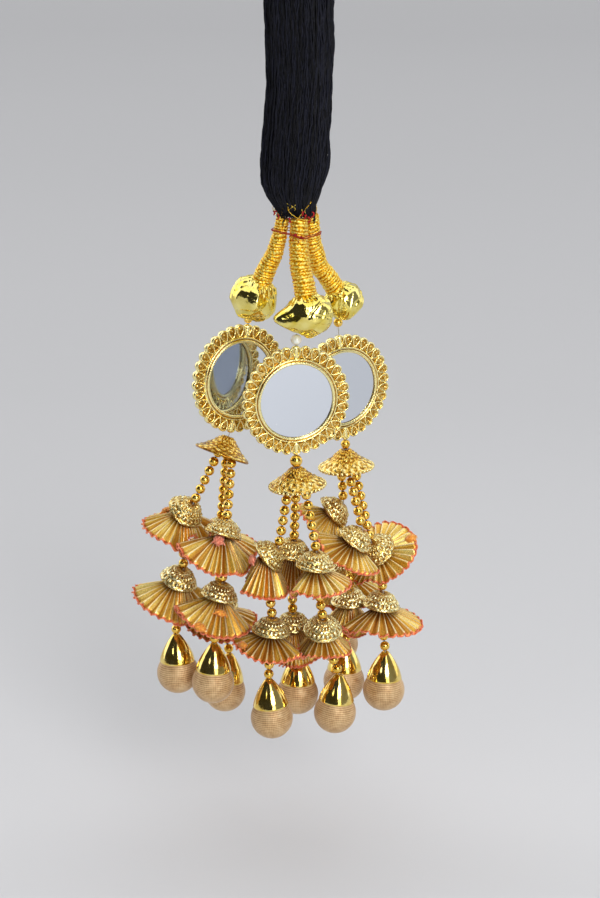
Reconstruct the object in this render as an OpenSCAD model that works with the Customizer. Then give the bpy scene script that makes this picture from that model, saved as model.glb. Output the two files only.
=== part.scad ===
// Braid tassel: a hank of black thread that ends in three stems wound with gold thread.
// Each stem carries a foil ball, a mirror in a cast frame, a bell cap and three strings of beads.
// Each string carries two flowers, a cap over a pleated ribbon skirt, and ends in a wound drop.
// The origin is the middle of the hank's upper end, where a plait grips it. The tassel hangs down -Z.

/* [Hank] */
// Length of the hank of thread
hank_l = 96.6; // [90:0.2:96.6]
// Width of the hank below its neck
hank_w = 27.4; // [24:0.2:28]
// Depth of the hank as a share of its width
hank_flat = 0.74; // [0.6:0.02:0.85]
// Number of locks round the hank
locks = 10; // [8:1:12]
// Depth of the grooves between locks, as a share of the radius
lock_groove = 0.07; // [0.03:0.01:0.1]
// Radius of the hank inside its whipping
neck_r = 9.4; // [9:0.1:9.4]
// Height of the whipping at the hank's neck
whip_h = 3; // [2.5:0.1:3]
// Thickness of the whipping
whip_t = 1.1; // [0.8:0.1:1.3]

/* [Stems and balls] */
// Height of the red tie round the stems
tie_h = 2.6; // [1.5:0.1:3]
// Thickness of the red tie
tie_t = 0.7; // [0.5:0.1:0.9]
// Depth of the creases in a foil ball, as a share of its radius
crease = 0.09; // [0.04:0.01:0.1]

/* [Mirror frames] */
// Outer radius of a frame, over its lobes
frame_r = 22.2; // [21.5:0.1:22.2]
// Visible radius of a mirror
mirror_r = 14.8; // [14:0.1:15]
// Thickness of a mirror
mirror_t = 1.6; // [1.2:0.1:1.8]
// Thickness of the bezel
bezel_t = 3.4; // [3:0.1:3.8]
// Thickness of the ornamented band
band_t = 1.8; // [1.6:0.1:2]
// Number of lobes round a frame
lobes = 32; // [24:2:36]

/* [Caps] */
// Rim radius of a bell cap
bell_r = 11.4; // [11:0.1:11.6]
// Height of a bell cap
bell_h = 7.5; // [7:0.1:7.8]
// Rim radius of a flower cap
flower_r = 7.8; // [7:0.1:8]
// Height of a flower cap
flower_h = 6; // [5.6:0.1:6]
// Wall of the caps
cap_t = 0.8; // [0.6:0.1:0.9]

/* [Beads and thread] */
// Diameter of the string beads
bead_d = 4; // [3.8:0.05:4]
// Bore of every bead and cap
bore_d = 1.2; // [1.2:0.05:1.3]
// Diameter of the thread
thread_d = 0.5; // [0.4:0.05:0.5]

/* [Ribbon skirts] */
// Pleats round a skirt
pleats = 28; // [20:1:28]
// Half the height of a pleat at the hem
pleat_a = 0.55; // [0.3:0.05:0.6]
// Thickness of the pleated ribbon
ribbon_t = 1; // [0.9:0.05:1]
// Radius of the gathered edge of the ribbon
gather_r = 2.6; // [2.5:0.05:2.7]

/* [Drops] */
// Diameter of the wound ball
ball_d = 17.2; // [16.6:0.1:17.2]
// Length of a drop from its tip to the bottom of the ball
drop_l = 25.4; // [25:0.1:25.6]
// Radius of the drop cap's rim
drop_cap_r = 7.2; // [7:0.1:7.4]

/* [Hidden] */

// Colours
black = [0.08, 0.08, 0.11];
zari = [0.88, 0.66, 0.13];
red = [0.75, 0.16, 0.14];
foil = [0.86, 0.84, 0.35];
brass = [0.89, 0.72, 0.35];
glass = [0.75, 0.77, 0.82];
ribbon = [0.84, 0.64, 0.28];
peach = [0.81, 0.65, 0.5];
clear = [0.85, 0.83, 0.75];

gap = 0.12;
bead_step = bead_d + gap;
bore_r = bore_d / 2;
thread_r = thread_d / 2;

// Sections of the hank
// z, middle x, middle y, half width as a share of the widest, depth as a share of the width
neck_share = neck_r / (hank_w / 2);
hank_rows = [
    [0, 0, 0, neck_share + 0.05, 1],
    [-1, 0, 0, neck_share + 0.01, 1],
    [-4.8, 0, 0, neck_share, 1],
    [-6.4, 0, 0, 0.88, mix(1, hank_flat, 0.5)],
    [-9.5, -0.2, 0, 0.97, hank_flat],
    [-15, -0.4, 0, 0.98, hank_flat],
    [-30, -0.2, 0, 0.96, hank_flat],
    [-46, -0.2, 0, 0.93, hank_flat],
    [-62, -1.3, 0, 0.97, hank_flat],
    [-72, -2, 0, 0.99, hank_flat],
    [-78, -2.5, 0, 0.97, hank_flat],
    [-83.5, -3, 0, 0.91, hank_flat],
    [-88.5, -2.8, 0.4, 0.78, hank_flat],
    [-93, -2, 0.8, 0.6, hank_flat],
    [-96.6, -1.2, 0.8, 0.54, hank_flat]];
// Turn of the locks in degrees for each millimetre down
lock_turn = 1.5;
// Top of the whipping, and what it stands off the neck
whip_z = -1.4;
whip_clear = 0.3;

// Paths of the stems: upper end and two bends; each then heads for the middle of its ball
// first point, second point, third point, upper radius, lower radius
stem_rows = [
    [[-6.6, 0, -97], [-8, 0.2, -104.4], [-10.1, 1.5, -112], 2.4, 4],
    [[-0.4, -2, -97], [-0.6, -3, -106.2], [0, -5, -115.4], 3.3, 4.3],
    [[4.2, 4.8, -97], [5, 8, -108.4], [7.6, 12, -119], 3, 3.9]];
// Depth to which a stem sinks towards its ball, as a share of the ball's radius, and the gap it keeps there
stem_flat = 0.8;
stem_gap = 0.3;
// Lift of the stem's last bend
stem_lift = 0.5;
// Height of the tie, what it stands off the stems, and where on a stem its radius is taken
tie_z = -103.4;
tie_clear = 0.5;
tie_share = 0.4;
tie_sides = 36;

// Foil balls
// middle, radius, direction of the nub, height of the nub, turn of the creases
ball_rows = [
    [[-18.2, 5.6, -130.2], 9.3, [0.1, -1, -0.1], 1.2, 10],
    [[3.9, -8, -133.6], 8.9, [-1, -0.25, -0.3], 5.2, 95],
    [[17.4, 17.6, -134.2], 7.6, [-0.9, -0.6, -0.1], 1.6, 200]];

// Neck beads
// middle, radius
neck_rows = [
    [[-20.6, 7.6, -139.4], 1.75],
    [[-1.5, -9.6, -143.5], 2.1],
    [[15.3, 18.5, -143.5], 1.9]];

// Mirror frames
// middle, turn about Z, roll in its own plane
frame_rows = [
    [[-24.3, 5, -163.1], 36, -12],
    [[-1.6, -10, -168], 18, 0],
    [[17.1, 20, -171], 31, 4.5]];

// Bell caps
// apex, lean in degrees, side that the lean lifts, radius of the bead above or 0 for none
bell_rows = [
    [[-28.6, 2, -186.3], 25, 217, 0],
    [[-1.5, -10, -195.5], 4, 20, 2.5],
    [[18.6, 20.8, -197.4], 3, 0, 1.95]];

// Strings: where each leaves its bell cap, and the tip of its drop
// place at the bell cap, tip of the drop, middle of the drop's ball
string_rows = [
    [[-31.6, 0.2, -190.2], [-50.8, -1, -270], [-50.3, -1, -286.5]],
    [[-27, -0.2, -190.4], [-34.7, -13, -269.3], [-35.4, -13, -286.2]],
    [[-29.2, 4.8, -190.3], [-29.2, 11, -283.6], [-31.4, 11, -300]],
    [[-3.8, -11.4, -198.2], [-12.7, -18, -282.7], [-11.4, -18, -300.1]],
    [[1, -11.4, -198.2], [15.9, -14, -282.2], [14.3, -14, -298.6]],
    [[-1.4, -7.2, -198.2], [-0.8, 4.4, -281.8], [-1, 4.4, -298.6]],
    [[16.6, 22.4, -200.2], [17, 37, -272.6], [16.3, 37, -289.4]],
    [[18.3, 18, -200.2], [18.8, 13, -279.6], [18.4, 13, -296.4]],
    [[21.2, 22.2, -200.2], [35.1, -1, -277.8], [34.6, -1, -294.5]]];

// Flowers, an upper and a lower one for each string
// tip of the cap, lean of the cap, side that the lean lifts, lean of the skirt, spread to the sides,
// spread to front and back, radius of the skirt, share of the room that it takes from a neighbour
flower_rows = [
    [[-42.9, -3, -213], 42, 150, 7, 68, 60, 17, 0.8],
    [[-47.2, -3, -241], 25, 150, 8, 70, 50, 18.5, 0.9],
    [[-29.2, -10, -217.8], 25, 225, 12, 72, 30, 18, 2],
    [[-31.1, -12, -243.4], 15, 190, 22, 62, 38, 18, 2],
    [[-32.4, 14, -225.3], 8, 90, 8, 62, 60, 16.5, 1],
    [[-33.5, 13, -257.5], 8, 90, 8, 70, 50, 16, 1],
    [[-8.6, -18, -226.6], 48, 180, 12, 44, 32, 17.5, 1.4],
    [[-11, -18, -256.3], 8, 190, 6, 74, 58, 15.5, 1.3],
    [[6.6, -20, -227.6], 5, 180, 5, 68, 60, 15.5, 1.2],
    [[9.2, -16, -257.5], 20, 90, 0, 48, 60, 14, 1.1],
    [[-2.4, -3, -228.4], 10, 150, 10, 50, 40, 16, 0.7],
    [[-3, 1, -261.5], 0, 0, 0, 45, 45, 17, 0.8],
    [[18, 22, -221.5], 50, 180, 35, 64, 60, 14, 1],
    [[18.5, 32, -250], 8, 90, 8, 62, 60, 16.5, 1],
    [[25.5, 4, -226.7], 36, 180, 30, 72, 62, 15.5, 1.4],
    [[20.5, 15, -256.2], 0, 0, 0, 40, 40, 12.5, 0.7],
    [[29.2, 12, -235], 42, 50, 38, 80, 86, 16, 2],
    [[34.2, 6, -254.3], 8, 180, 10, 76, 72, 18.5, 1.5]];

// Vector helpers
function unit(v) = v / norm(v);
function mix(a, b, t) = a + (b - a) * t;
function heading(a) = [cos(a), sin(a), 0];
// Direction of an axis that leans by lean away from the side it lifts
function leaned(lean, side) = [-sin(lean) * cos(side), -sin(lean) * sin(side), cos(lean)];

// Triangles between rings of n points each; the last ring joins the first if closed
function ring_faces(rings, n, closed = false) = [
    for (i = [0:rings - (closed ? 1 : 2)], j = [0:n - 1])
        let (k = (i + 1) % rings, m = (j + 1) % n)
            each [[i * n + j, k * n + m, i * n + m], [i * n + j, k * n + j, k * n + m]]];
// The two end faces of an open stack of rings
function end_faces(rings, n) = [[for (j = [0:n - 1]) j], [for (j = [n - 1:-1:0]) (rings - 1) * n + j]];

// A round bar along points, with a radius at each point
module swept(points, radii, sides) {
    last = len(points) - 1;
    rings = [for (i = [0:last])
        let (t = unit(points[min(i + 1, last)] - points[max(i - 1, 0)]),
             u = unit(cross(t, [0, 1, 0])), v = cross(t, u))
            for (j = [0:sides - 1])
                points[i] + radii[i] * (cos(j * 360 / sides) * u + sin(j * 360 / sides) * v)];
    polyhedron(rings, concat(ring_faces(last + 1, sides), end_faces(last + 1, sides)));
}

// Turns the Z axis of its children to a direction
module aimed(dir) {
    rotate([0, acos(dir[2] / norm(dir)), atan2(dir[1], dir[0])]) children();
}

// Turns the Z axis of its children to a lean away from the side it lifts
module leaning(lean, side) {
    rotate([0, 0, side]) rotate([0, -lean, 0]) children();
}

module bead(at, dir, r) {
    translate(at) aimed(dir) difference() {
        sphere(r, $fn = 32);
        cylinder(h = 4 * r, r = bore_r, center = true, $fn = 24);
    }
}

// Hank
hank_sides = 4 * locks;
hank_count = len(hank_rows);
hank_stretch = hank_l / -hank_rows[hank_count - 1][0];
function hank_point(row, a) =
    let (wave = (1 - cos(locks * a + lock_turn * row[0])) / 2,
         r = row[3] * hank_w / 2 * (1 - lock_groove * wave))
        [row[1] + r * cos(a), row[2] + r * row[4] * sin(a), row[0] * hank_stretch];

module hank() {
    points = [for (row = hank_rows, j = [0:hank_sides - 1]) hank_point(row, -j * 360 / hank_sides)];
    color(black) polyhedron(points,
        concat(ring_faces(hank_count, hank_sides), end_faces(hank_count, hank_sides)));
}

module hank_whipping() {
    color(black) translate([0, 0, whip_z - whip_h]) rotate_extrude($fn = 48)
        translate([neck_r + whip_clear, 0]) square([whip_t, whip_h]);
}

// Stems
function stem_points(i) =
    let (row = stem_rows[i], ball = ball_rows[i],
         end = ball[0] + unit(row[2] - ball[0]) * (ball[1] * stem_flat + stem_gap))
        [row[0], mix(row[0], row[1], 0.5), row[1], mix(row[1], row[2], 0.5), row[2],
         mix(row[2], end, 0.5) + [0, 0, stem_lift], end];
function stem_radius(i, t) = mix(stem_rows[i][3], stem_rows[i][4], t);

module stem(i) {
    points = stem_points(i);
    last = len(points) - 1;
    color(zari) swept(points, [for (k = [0:last]) stem_radius(i, k / last)], 12);
}

// Middle of a stem at the height of the tie
function stem_at(i, z) =
    let (a = stem_rows[i][0], b = stem_rows[i][1]) mix(a, b, (z - a[2]) / (b[2] - a[2]));
function tie_radius(i, grow) = stem_radius(i, tie_share) + grow;
function tie_reach(i, a, grow) = stem_at(i, tie_z) * heading(a) + tie_radius(i, grow);
function tie_point(a, grow, z) =
    let (best = max([for (i = [0:2]) tie_reach(i, a, grow)]),
         i = [for (k = [0:2]) if (tie_reach(k, a, grow) >= best - 0.001) k][0],
         at = stem_at(i, tie_z) + heading(a) * tie_radius(i, grow))
        [at[0], at[1], z];

// The tie runs round all three stems as a taut band
module stem_tie() {
    corners = [for (c = [[0, 1], [0, -1], [1, -1], [1, 1]]) [tie_clear + c[0] * tie_t, c[1] * tie_h / 2]];
    points = [for (c = corners, j = [0:tie_sides - 1]) tie_point(j * 360 / tie_sides, c[0], tie_z + c[1])];
    color(red) polyhedron(points, ring_faces(4, tie_sides, closed = true));
}

// Foil balls: a sphere with sharp creases, a nub, and flats where the stem and neck bead sit
ball_sides = 20;
ball_rings = 13;
// How sharp the nub is, what the neck bead keeps off the ball, and how square to a flat it begins
nub_power = 8;
neck_gap = 0.15;
flat_from = 0.4;
// The creases are three waves that cross each other
// waves round the ball, waves up the ball, share of the ball's turn, weight
crease_waves = [[2.5, 1, 1, 0.6], [1.5, 3, -1, 0.4], [4, -2, 2, 0.5]];
function creased(a, b, turn) =
    [for (w = crease_waves) w[3] * abs(sin(w[0] * a + w[1] * b + w[2] * turn))] * [1, 1, 1];
function flat_cut(r, dir, axis, depth) =
    let (c = dir * axis) c > flat_from ? min(r, depth / c) : r;
function ball_radius(i, dir, a, b) =
    let (row = ball_rows[i], at = row[0], r0 = row[1],
         to_stem = unit(stem_rows[i][2] - at), to_neck = unit(neck_rows[i][0] - at),
         nub = max(0, dir * unit(row[2])),
         rough = r0 * (1 + crease * (0.7 - creased(a, b, row[4]))) + row[3] * pow(nub, nub_power),
         cut = flat_cut(rough, dir, to_stem, r0 * stem_flat))
        flat_cut(cut, dir, to_neck, norm(neck_rows[i][0] - at) - neck_rows[i][1] - neck_gap);

module foil_ball(i) {
    at = ball_rows[i][0];
    points = [for (k = [0:ball_rings - 1], j = [0:ball_sides - 1])
        let (b = 90 - (k + 0.5) * 180 / ball_rings, a = -j * 360 / ball_sides,
             dir = [cos(a) * cos(b), sin(a) * cos(b), sin(b)])
            at + dir * ball_radius(i, dir, a, b)];
    color(foil) polyhedron(points,
        concat(ring_faces(ball_rings, ball_sides), end_faces(ball_rings, ball_sides)));
}

module neck_bead(i) {
    color(i == 1 ? clear : brass) bead(neck_rows[i][0], thread_way(i), neck_rows[i][1]);
}

// Mirror frames, made face up and then stood up
function frame_up(i) =
    let (yaw = frame_rows[i][1], roll = frame_rows[i][2])
        [-sin(roll) * cos(yaw), -sin(roll) * sin(yaw), cos(roll)];
function frame_end(i, sign) = frame_rows[i][0] + frame_up(i) * frame_r * sign;
function thread_way(i) = unit(neck_rows[i][0] - frame_end(i, 1));

module stood(i) {
    translate(frame_rows[i][0]) rotate([90, 0, frame_rows[i][1]])
        rotate([0, 0, frame_rows[i][2]]) children();
}

lobe_r = 2.2;
lobe_t = band_t + 0.5;
lobe_at = frame_r - lobe_r;
eyelet_r = 1.15;
eyelet_t = 0.45;
// The small eyelets lie in the band's flat ring, clear of the lobes
inner_r = 0.4;
inner_at = lobe_at - 1.95;
// Radius of the hole for the thread, and how far it runs on past the thread's end
thread_bore = 0.55;
bore_on = 0.8;
seat_r = mirror_r + 0.7;

// Bezel outline: radius beyond the mirror's edge, and depth below the bezel's face
bezel_steps = [[0, 0.3], [0.4, 0], [1.2, 0], [1.4, 0.5], [2.2, 0.5]];
bezel_w = 2.5;
module frame_blank() {
    band = [[mirror_r + bezel_w, band_t / 2], [lobe_at, band_t / 2]];
    face = concat([for (p = bezel_steps) [mirror_r + p[0], bezel_t / 2 - p[1]]], band);
    back = [for (k = [len(face) - 1:-1:0]) [face[k][0], -face[k][1]]];
    s = mirror_t / 2 + gap;
    seat = [[mirror_r, -s], [seat_r, -s], [seat_r, s], [mirror_r, s]];
    rotate_extrude($fn = 96) polygon(concat(face, back, seat));
    for (k = [0:lobes - 1]) rotate([0, 0, k * 360 / lobes]) translate([lobe_at, 0, 0])
        cylinder(h = lobe_t, r = lobe_r, center = true, $fn = 24);
}

// Blind eyelets on both faces, a large one in each lobe and a small one between lobes
module frame_eyelets() {
    for (k = [0:lobes - 1], side = [-1, 1]) rotate([0, 0, k * 360 / lobes]) {
        translate([lobe_at, 0, side * lobe_t / 2])
            cylinder(h = 2 * eyelet_t, r = eyelet_r, center = true, $fn = 20);
        rotate([0, 0, 180 / lobes]) translate([inner_at, 0, side * band_t / 2])
            cylinder(h = 2 * eyelet_t, r = inner_r, center = true, $fn = 16);
    }
}

module mirror_frame(i) {
    color(brass) stood(i) difference() {
        frame_blank();
        frame_eyelets();
        for (a = [-90, 90]) rotate([a, 0, 0]) translate([0, 0, frame_r - thread_in - bore_on])
            cylinder(h = thread_in + 2 * bore_on, r = thread_bore, $fn = 20);
    }
}

module mirror(i) {
    color(glass) stood(i) cylinder(h = mirror_t, r = seat_r - gap, center = true, $fn = 96);
}

// Caps: shells turned from an outline of radius and depth, both as shares
bell_outline = [[0.13, 0], [0.26, 0.1], [0.42, 0.34], [0.62, 0.6], [0.84, 0.84], [1, 1]];
flower_outline = [[0.14, 0], [0.34, 0.06], [0.6, 0.28], [0.8, 0.6], [0.93, 0.85], [1, 1]];

// How far the inside keeps from the outside, as a share of the wall
rim_share = 0.8;

module shell(outline, r, h) {
    outer = [for (p = outline) [p[0] * r, -p[1] * h]];
    inner = [for (p = outline)
        [max(bore_r, p[0] * r - cap_t * rim_share), -p[1] * h - cap_t * (1 - p[1])]];
    last = len(outline) - 1;
    rotate_extrude($fn = 64) polygon(concat([[bore_r, 0]], outer,
        [for (k = [last:-1:1]) inner[k]], [[bore_r, -cap_t]]));
}

grains = 36;
grain_r = 0.62;
module bell_cap(i) {
    row = bell_rows[i];
    color(brass) translate(row[0]) leaning(row[1], row[2]) union() {
        shell(bell_outline, bell_r, bell_h);
        for (k = [0:grains - 1]) rotate([0, 0, k * 360 / grains])
            translate([bell_r - grain_r / 2, 0, -bell_h]) sphere(grain_r, $fn = 16);
    }
}

function cap_bead_at(i) = mix(frame_end(i, -1), bell_rows[i][0], 0.5);

module cap_bead(i) {
    color(brass) bead(cap_bead_at(i), frame_end(i, -1) - bell_rows[i][0], bell_rows[i][3]);
}

// Strings: string s hangs from bell cap floor(s / 3) and holds flowers 2s and 2s + 1
bead_r = bead_d / 2;
flower_drop = 7.2;
function cap_way(f) = leaned(flower_rows[f][1], flower_rows[f][2]);
function hub(f) = flower_rows[f][0] - cap_way(f) * flower_drop;
function drop_way(s) = unit(string_rows[s][1] - string_rows[s][2]);
// Where a string's thread bends: its three runs of beads go from stop 2k to stop 2k + 1
function stops(s) = [string_rows[s][0], flower_rows[2 * s][0], hub(2 * s),
    flower_rows[2 * s + 1][0], hub(2 * s + 1), string_rows[s][1]];
function run_way(s, k) = unit(stops(s)[2 * k] - stops(s)[2 * k + 1]);
function run_length(s, k) = norm(stops(s)[2 * k] - stops(s)[2 * k + 1]);
// Height of the lowest bead of a run over the cap that it stands on
seat_gap = 0.1;
function run_seat(s, k) =
    let (cap = k < 2 ? cap_way(2 * s + k) : drop_way(s))
        (bead_r + gap) / max(0.5, run_way(s, k) * cap) + seat_gap;
// Depth of the highest bead of a run: under the bell cap, or inside the gathered ribbon of a flower
bell_room = bead_r + 0.5;
function run_top(s, k) = k == 0 ? bell_room : perch(2 * s + k - 1);

// The beads of a run stand on its lower end, and in a flower the last one sits at its top
module beads(s) {
    color(brass) for (k = [0:2]) {
        way = run_way(s, k);
        steps = floor((run_length(s, k) - run_seat(s, k) - run_top(s, k)) / bead_step);
        for (j = [0:k == 0 ? steps : steps - 1])
            bead(stops(s)[2 * k + 1] + way * (run_seat(s, k) + j * bead_step), way, bead_r);
        if (k > 0) bead(stops(s)[2 * k] - way * run_top(s, k), way, bead_r);
    }
}

// Threads: one from ball to frame, one from frame to bell cap, one down each string
// The three strings leave the lower end of the bell cap's thread
thread_in = 2.6;
bell_thread = 1.6;
drop_thread = 2;
// Drop of the knot below the bell cap's thread, how far off it each string starts, and off the neck bead
knot_drop = 0.4;
knot_out = 0.7;
neck_out = 0.05;
function bell_way(i) = leaned(bell_rows[i][1], bell_rows[i][2]);
function string_thread(s) =
    let (i = floor(s / 3), knot = bell_rows[i][0] - bell_way(i) * (bell_thread + knot_drop))
        concat([knot + unit(string_rows[s][0] - knot) * knot_out], stops(s),
            [string_rows[s][1] - drop_way(s) * drop_thread]);

module line(points) {
    swept(points, [for (p = points) thread_r], 6);
}

module threads(i) {
    neck = neck_rows[i];
    top = frame_end(i, 1);
    low = frame_end(i, -1);
    apex = bell_rows[i][0];
    color(clear) {
        line([neck[0] + thread_way(i) * (neck[1] + neck_out), top, top - frame_up(i) * thread_in]);
        line([low + frame_up(i) * thread_in, low, apex, apex - bell_way(i) * bell_thread]);
        for (s = [3 * i:3 * i + 2]) line(string_thread(s));
    }
}

module flower_caps(s) {
    color(brass) for (f = [2 * s, 2 * s + 1])
        translate(flower_rows[f][0]) leaning(flower_rows[f][1], flower_rows[f][2])
            shell(flower_outline, flower_r, flower_h);
}

// Ribbon skirts: a skirt gives way to its neighbours, so its spread is limited by the room left
pleat_room = 1.7;
// How far below a hub its ribbon meets strings, and the heights over which it meets skirts and balls
ribbon_low = 6;
skirt_near = 13;
ball_near = 12;
strings = len(string_rows);
function flat(v) = [v[0], v[1], 0];
function string_at(s, z) =
    let (at = stops(s), k = z > at[1][2] ? 0 : z > at[3][2] ? 2 : 4,
         t = min(1, max(0, (z - at[k][2]) / (at[k + 1][2] - at[k][2]))))
        mix(at[k], at[k + 1], t);
// Each room is a direction and how far the skirt may reach that way from its hub
function skirt_room(f, g) =
    let (away = flat(hub(g) - hub(f)), w = flower_rows[f][7] / (flower_rows[f][7] + flower_rows[g][7]))
        [unit(away), norm(away) * w - pleat_room / 2];
function string_room(f, s) =
    let (away = flat(string_at(s, hub(f)[2] - ribbon_low) - hub(f)))
        [unit(away), norm(away) - bead_r - pleat_room];
function ball_room(f, s) =
    let (away = flat(string_rows[s][2] - hub(f)))
        [unit(away), norm(away) - ball_d / 2 - pleat_room];
function rooms(f) = let (own = floor(f / 2), z = hub(f)[2]) concat(
    [for (g = [0:2 * strings - 1])
        if (floor(g / 2) != own && abs(hub(g)[2] - z) < skirt_near) skirt_room(f, g)],
    [for (s = [0:strings - 1]) if (s != own) string_room(f, s)],
    [for (s = [0:strings - 1])
        if (s != own && abs(string_rows[s][2][2] - z + ribbon_low) < ball_near) ball_room(f, s)]);

// Frame of a skirt: across on the lifted side, across at right angles to it, and up
function skirt_axes(f) =
    let (lean = flower_rows[f][3], side = flower_rows[f][2])
        [[cos(lean) * cos(side), cos(lean) * sin(side), sin(lean)],
         [-sin(side), cos(side), 0], leaned(lean, side)];
// Direction of the ribbon at azimuth a and spread t from straight down
function ribbon_way(f, axes, a, t) =
    let (b = a - flower_rows[f][2]) sin(t) * (cos(b) * axes[0] + sin(b) * axes[1]) - cos(t) * axes[2];
function in_room(reach, all) = min([for (room = all) room[1] - reach * room[0]]) > 0;
// Under its own cap, and inside its rooms
cap_shade = 5;
function fits(f, rim, way, all) =
    (rim * gather_r + way * cap_shade) * cap_way(f) < 0
    && in_room(rim * gather_r + way * (flower_rows[f][6] - gather_r), all);
// Least spread that clears the flower's own string below it
own_clear = 14;
function least(f, a) =
    let (down = -run_way(floor(f / 2), 1 + f % 2), slope = acos(-down[2]), side = atan2(down[1], down[0]))
        own_clear + max(0, slope * cos(a - side) - flower_rows[f][3] * cos(a - flower_rows[f][2]));
// Widest spread from t down to the least one at which the ribbon keeps to its room
spread_step = 1.5;
function held(f, axes, a, t, all, low) =
    t <= low || fits(f, ribbon_way(f, axes, a, 90), ribbon_way(f, axes, a, t), all)
        ? t : held(f, axes, a, max(low, t - spread_step), all, low);
function spread(f, axes, a, all) =
    held(f, axes, a, flower_rows[f][4] * pow(cos(a), 2) + flower_rows[f][5] * pow(sin(a), 2), all,
        least(f, a));
// Where even the least spread is too wide, the ribbon is crushed shorter
crushed = 8;
crush_step = 0.5;
function kept(rim, way, long, all) =
    long <= crushed || in_room(rim * gather_r + way * long, all)
        ? long : kept(rim, way, long - crush_step, all);
// The ribbon at each fold: its inner end, its way out, its upper side and its length
function folds(f) =
    let (all = rooms(f), axes = skirt_axes(f), n = 2 * pleats)
        [for (j = [0:n - 1])
            let (a = j * 360 / n, t = spread(f, axes, a, all),
                 rim = ribbon_way(f, axes, a, 90), way = ribbon_way(f, axes, a, t))
                [hub(f) + rim * gather_r, way, ribbon_way(f, axes, a, t + 90),
                 kept(rim, way, flower_rows[f][6] - gather_r, all)]];
// Distance from a point to a fold, less what the pleat takes there
function off_fold(p, fold) =
    let (v = p - fold[0], s = min(fold[3], max(0, v * fold[1])))
        norm(v - s * fold[1]) - pleat_a * s / fold[3];
// Least depth below its hub at which a bead is clear of the ribbon
perch_from = 0.05;
perch_step = 0.2;
function perched(f, all, d) =
    let (at = hub(f) - run_way(floor(f / 2), 1 + f % 2) * d)
        min([for (fold = all) off_fold(at, fold)]) > bead_r + ribbon_t / 2 + gap
            ? d : perched(f, all, d + perch_step);
function perch(f) = perched(f, folds(f), bead_r + perch_from);

module skirt(f) {
    all = folds(f);
    points = [for (j = [0:2 * pleats - 1])
        let (fold = all[j], hem = fold[0] + fold[1] * fold[3], half = fold[2] * ribbon_t / 2,
             zig = fold[2] * (j % 2 == 0 ? pleat_a : -pleat_a))
            each [fold[0] + half, hem + zig + half, hem + zig - half, fold[0] - half]];
    polyhedron(points, ring_faces(2 * pleats, 4, closed = true));
}

module skirts(s) {
    color(ribbon) for (f = [2 * s, 2 * s + 1]) skirt(f);
}

// Drops: a polished cap over a ball wound with thread, along the line from tip to ball
cap_top_r = 1.4;
cap_bulge = 0.9;
rim_in = drop_cap_r - 0.7;
ball_r = ball_d / 2;
ball_drop = drop_l - ball_r;
rim_depth = ball_drop - sqrt(ball_r * ball_r - rim_in * rim_in);
module dropped(s) {
    translate(string_rows[s][1]) aimed(drop_way(s)) children();
}

module drop_caps(i) {
    outline = [for (t = [0:5]) let (u = t / 5)
        [cap_top_r + (drop_cap_r - cap_top_r) * sin(90 * pow(u, cap_bulge)), -rim_depth * u]];
    color(brass) for (s = [3 * i:3 * i + 2]) dropped(s) difference() {
        rotate_extrude($fn = 64) polygon(concat([[0, 0]], outline, [[0, -rim_depth]]));
        translate([0, 0, -ball_drop]) sphere(ball_r + gap, $fn = 64);
        translate([0, 0, -drop_thread - 1]) cylinder(h = drop_thread + 2, r = bore_r, $fn = 24);
    }
}

module drop_balls(i) {
    color(peach) for (s = [3 * i:3 * i + 2]) dropped(s)
        translate([0, 0, -ball_drop]) sphere(ball_r, $fn = 64);
}

hank();
hank_whipping();
stem(0);  // stem_left
stem(1);  // stem_centre
stem(2);  // stem_right
stem_tie();
foil_ball(0);  // foil_ball_left
foil_ball(1);  // foil_ball_centre
foil_ball(2);  // foil_ball_right
neck_bead(0);  // neck_bead_left
neck_bead(1);  // neck_bead_centre
neck_bead(2);  // neck_bead_right
mirror_frame(0);  // frame_left
mirror_frame(1);  // frame_centre
mirror_frame(2);  // frame_right
mirror(0);  // mirror_left
mirror(1);  // mirror_centre
mirror(2);  // mirror_right
bell_cap(0);  // bell_cap_left
bell_cap(1);  // bell_cap_centre
bell_cap(2);  // bell_cap_right
cap_bead(1);  // cap_bead_centre
cap_bead(2);  // cap_bead_right
threads(0);  // thread_left
threads(1);  // thread_centre
threads(2);  // thread_right
beads(0);  // beads_left_1
beads(1);  // beads_left_2
beads(2);  // beads_left_3
beads(3);  // beads_centre_1
beads(4);  // beads_centre_2
beads(5);  // beads_centre_3
beads(6);  // beads_right_1
beads(7);  // beads_right_2
beads(8);  // beads_right_3
flower_caps(0);  // flower_caps_left_1
flower_caps(1);  // flower_caps_left_2
flower_caps(2);  // flower_caps_left_3
flower_caps(3);  // flower_caps_centre_1
flower_caps(4);  // flower_caps_centre_2
flower_caps(5);  // flower_caps_centre_3
flower_caps(6);  // flower_caps_right_1
flower_caps(7);  // flower_caps_right_2
flower_caps(8);  // flower_caps_right_3
skirts(0);  // skirts_left_1
skirts(1);  // skirts_left_2
skirts(2);  // skirts_left_3
skirts(3);  // skirts_centre_1
skirts(4);  // skirts_centre_2
skirts(5);  // skirts_centre_3
skirts(6);  // skirts_right_1
skirts(7);  // skirts_right_2
skirts(8);  // skirts_right_3
drop_caps(0);  // drop_caps_left
drop_caps(1);  // drop_caps_centre
drop_caps(2);  // drop_caps_right
drop_balls(0);  // drop_balls_left
drop_balls(1);  // drop_balls_centre
drop_balls(2);  // drop_balls_right
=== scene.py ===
import math

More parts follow.
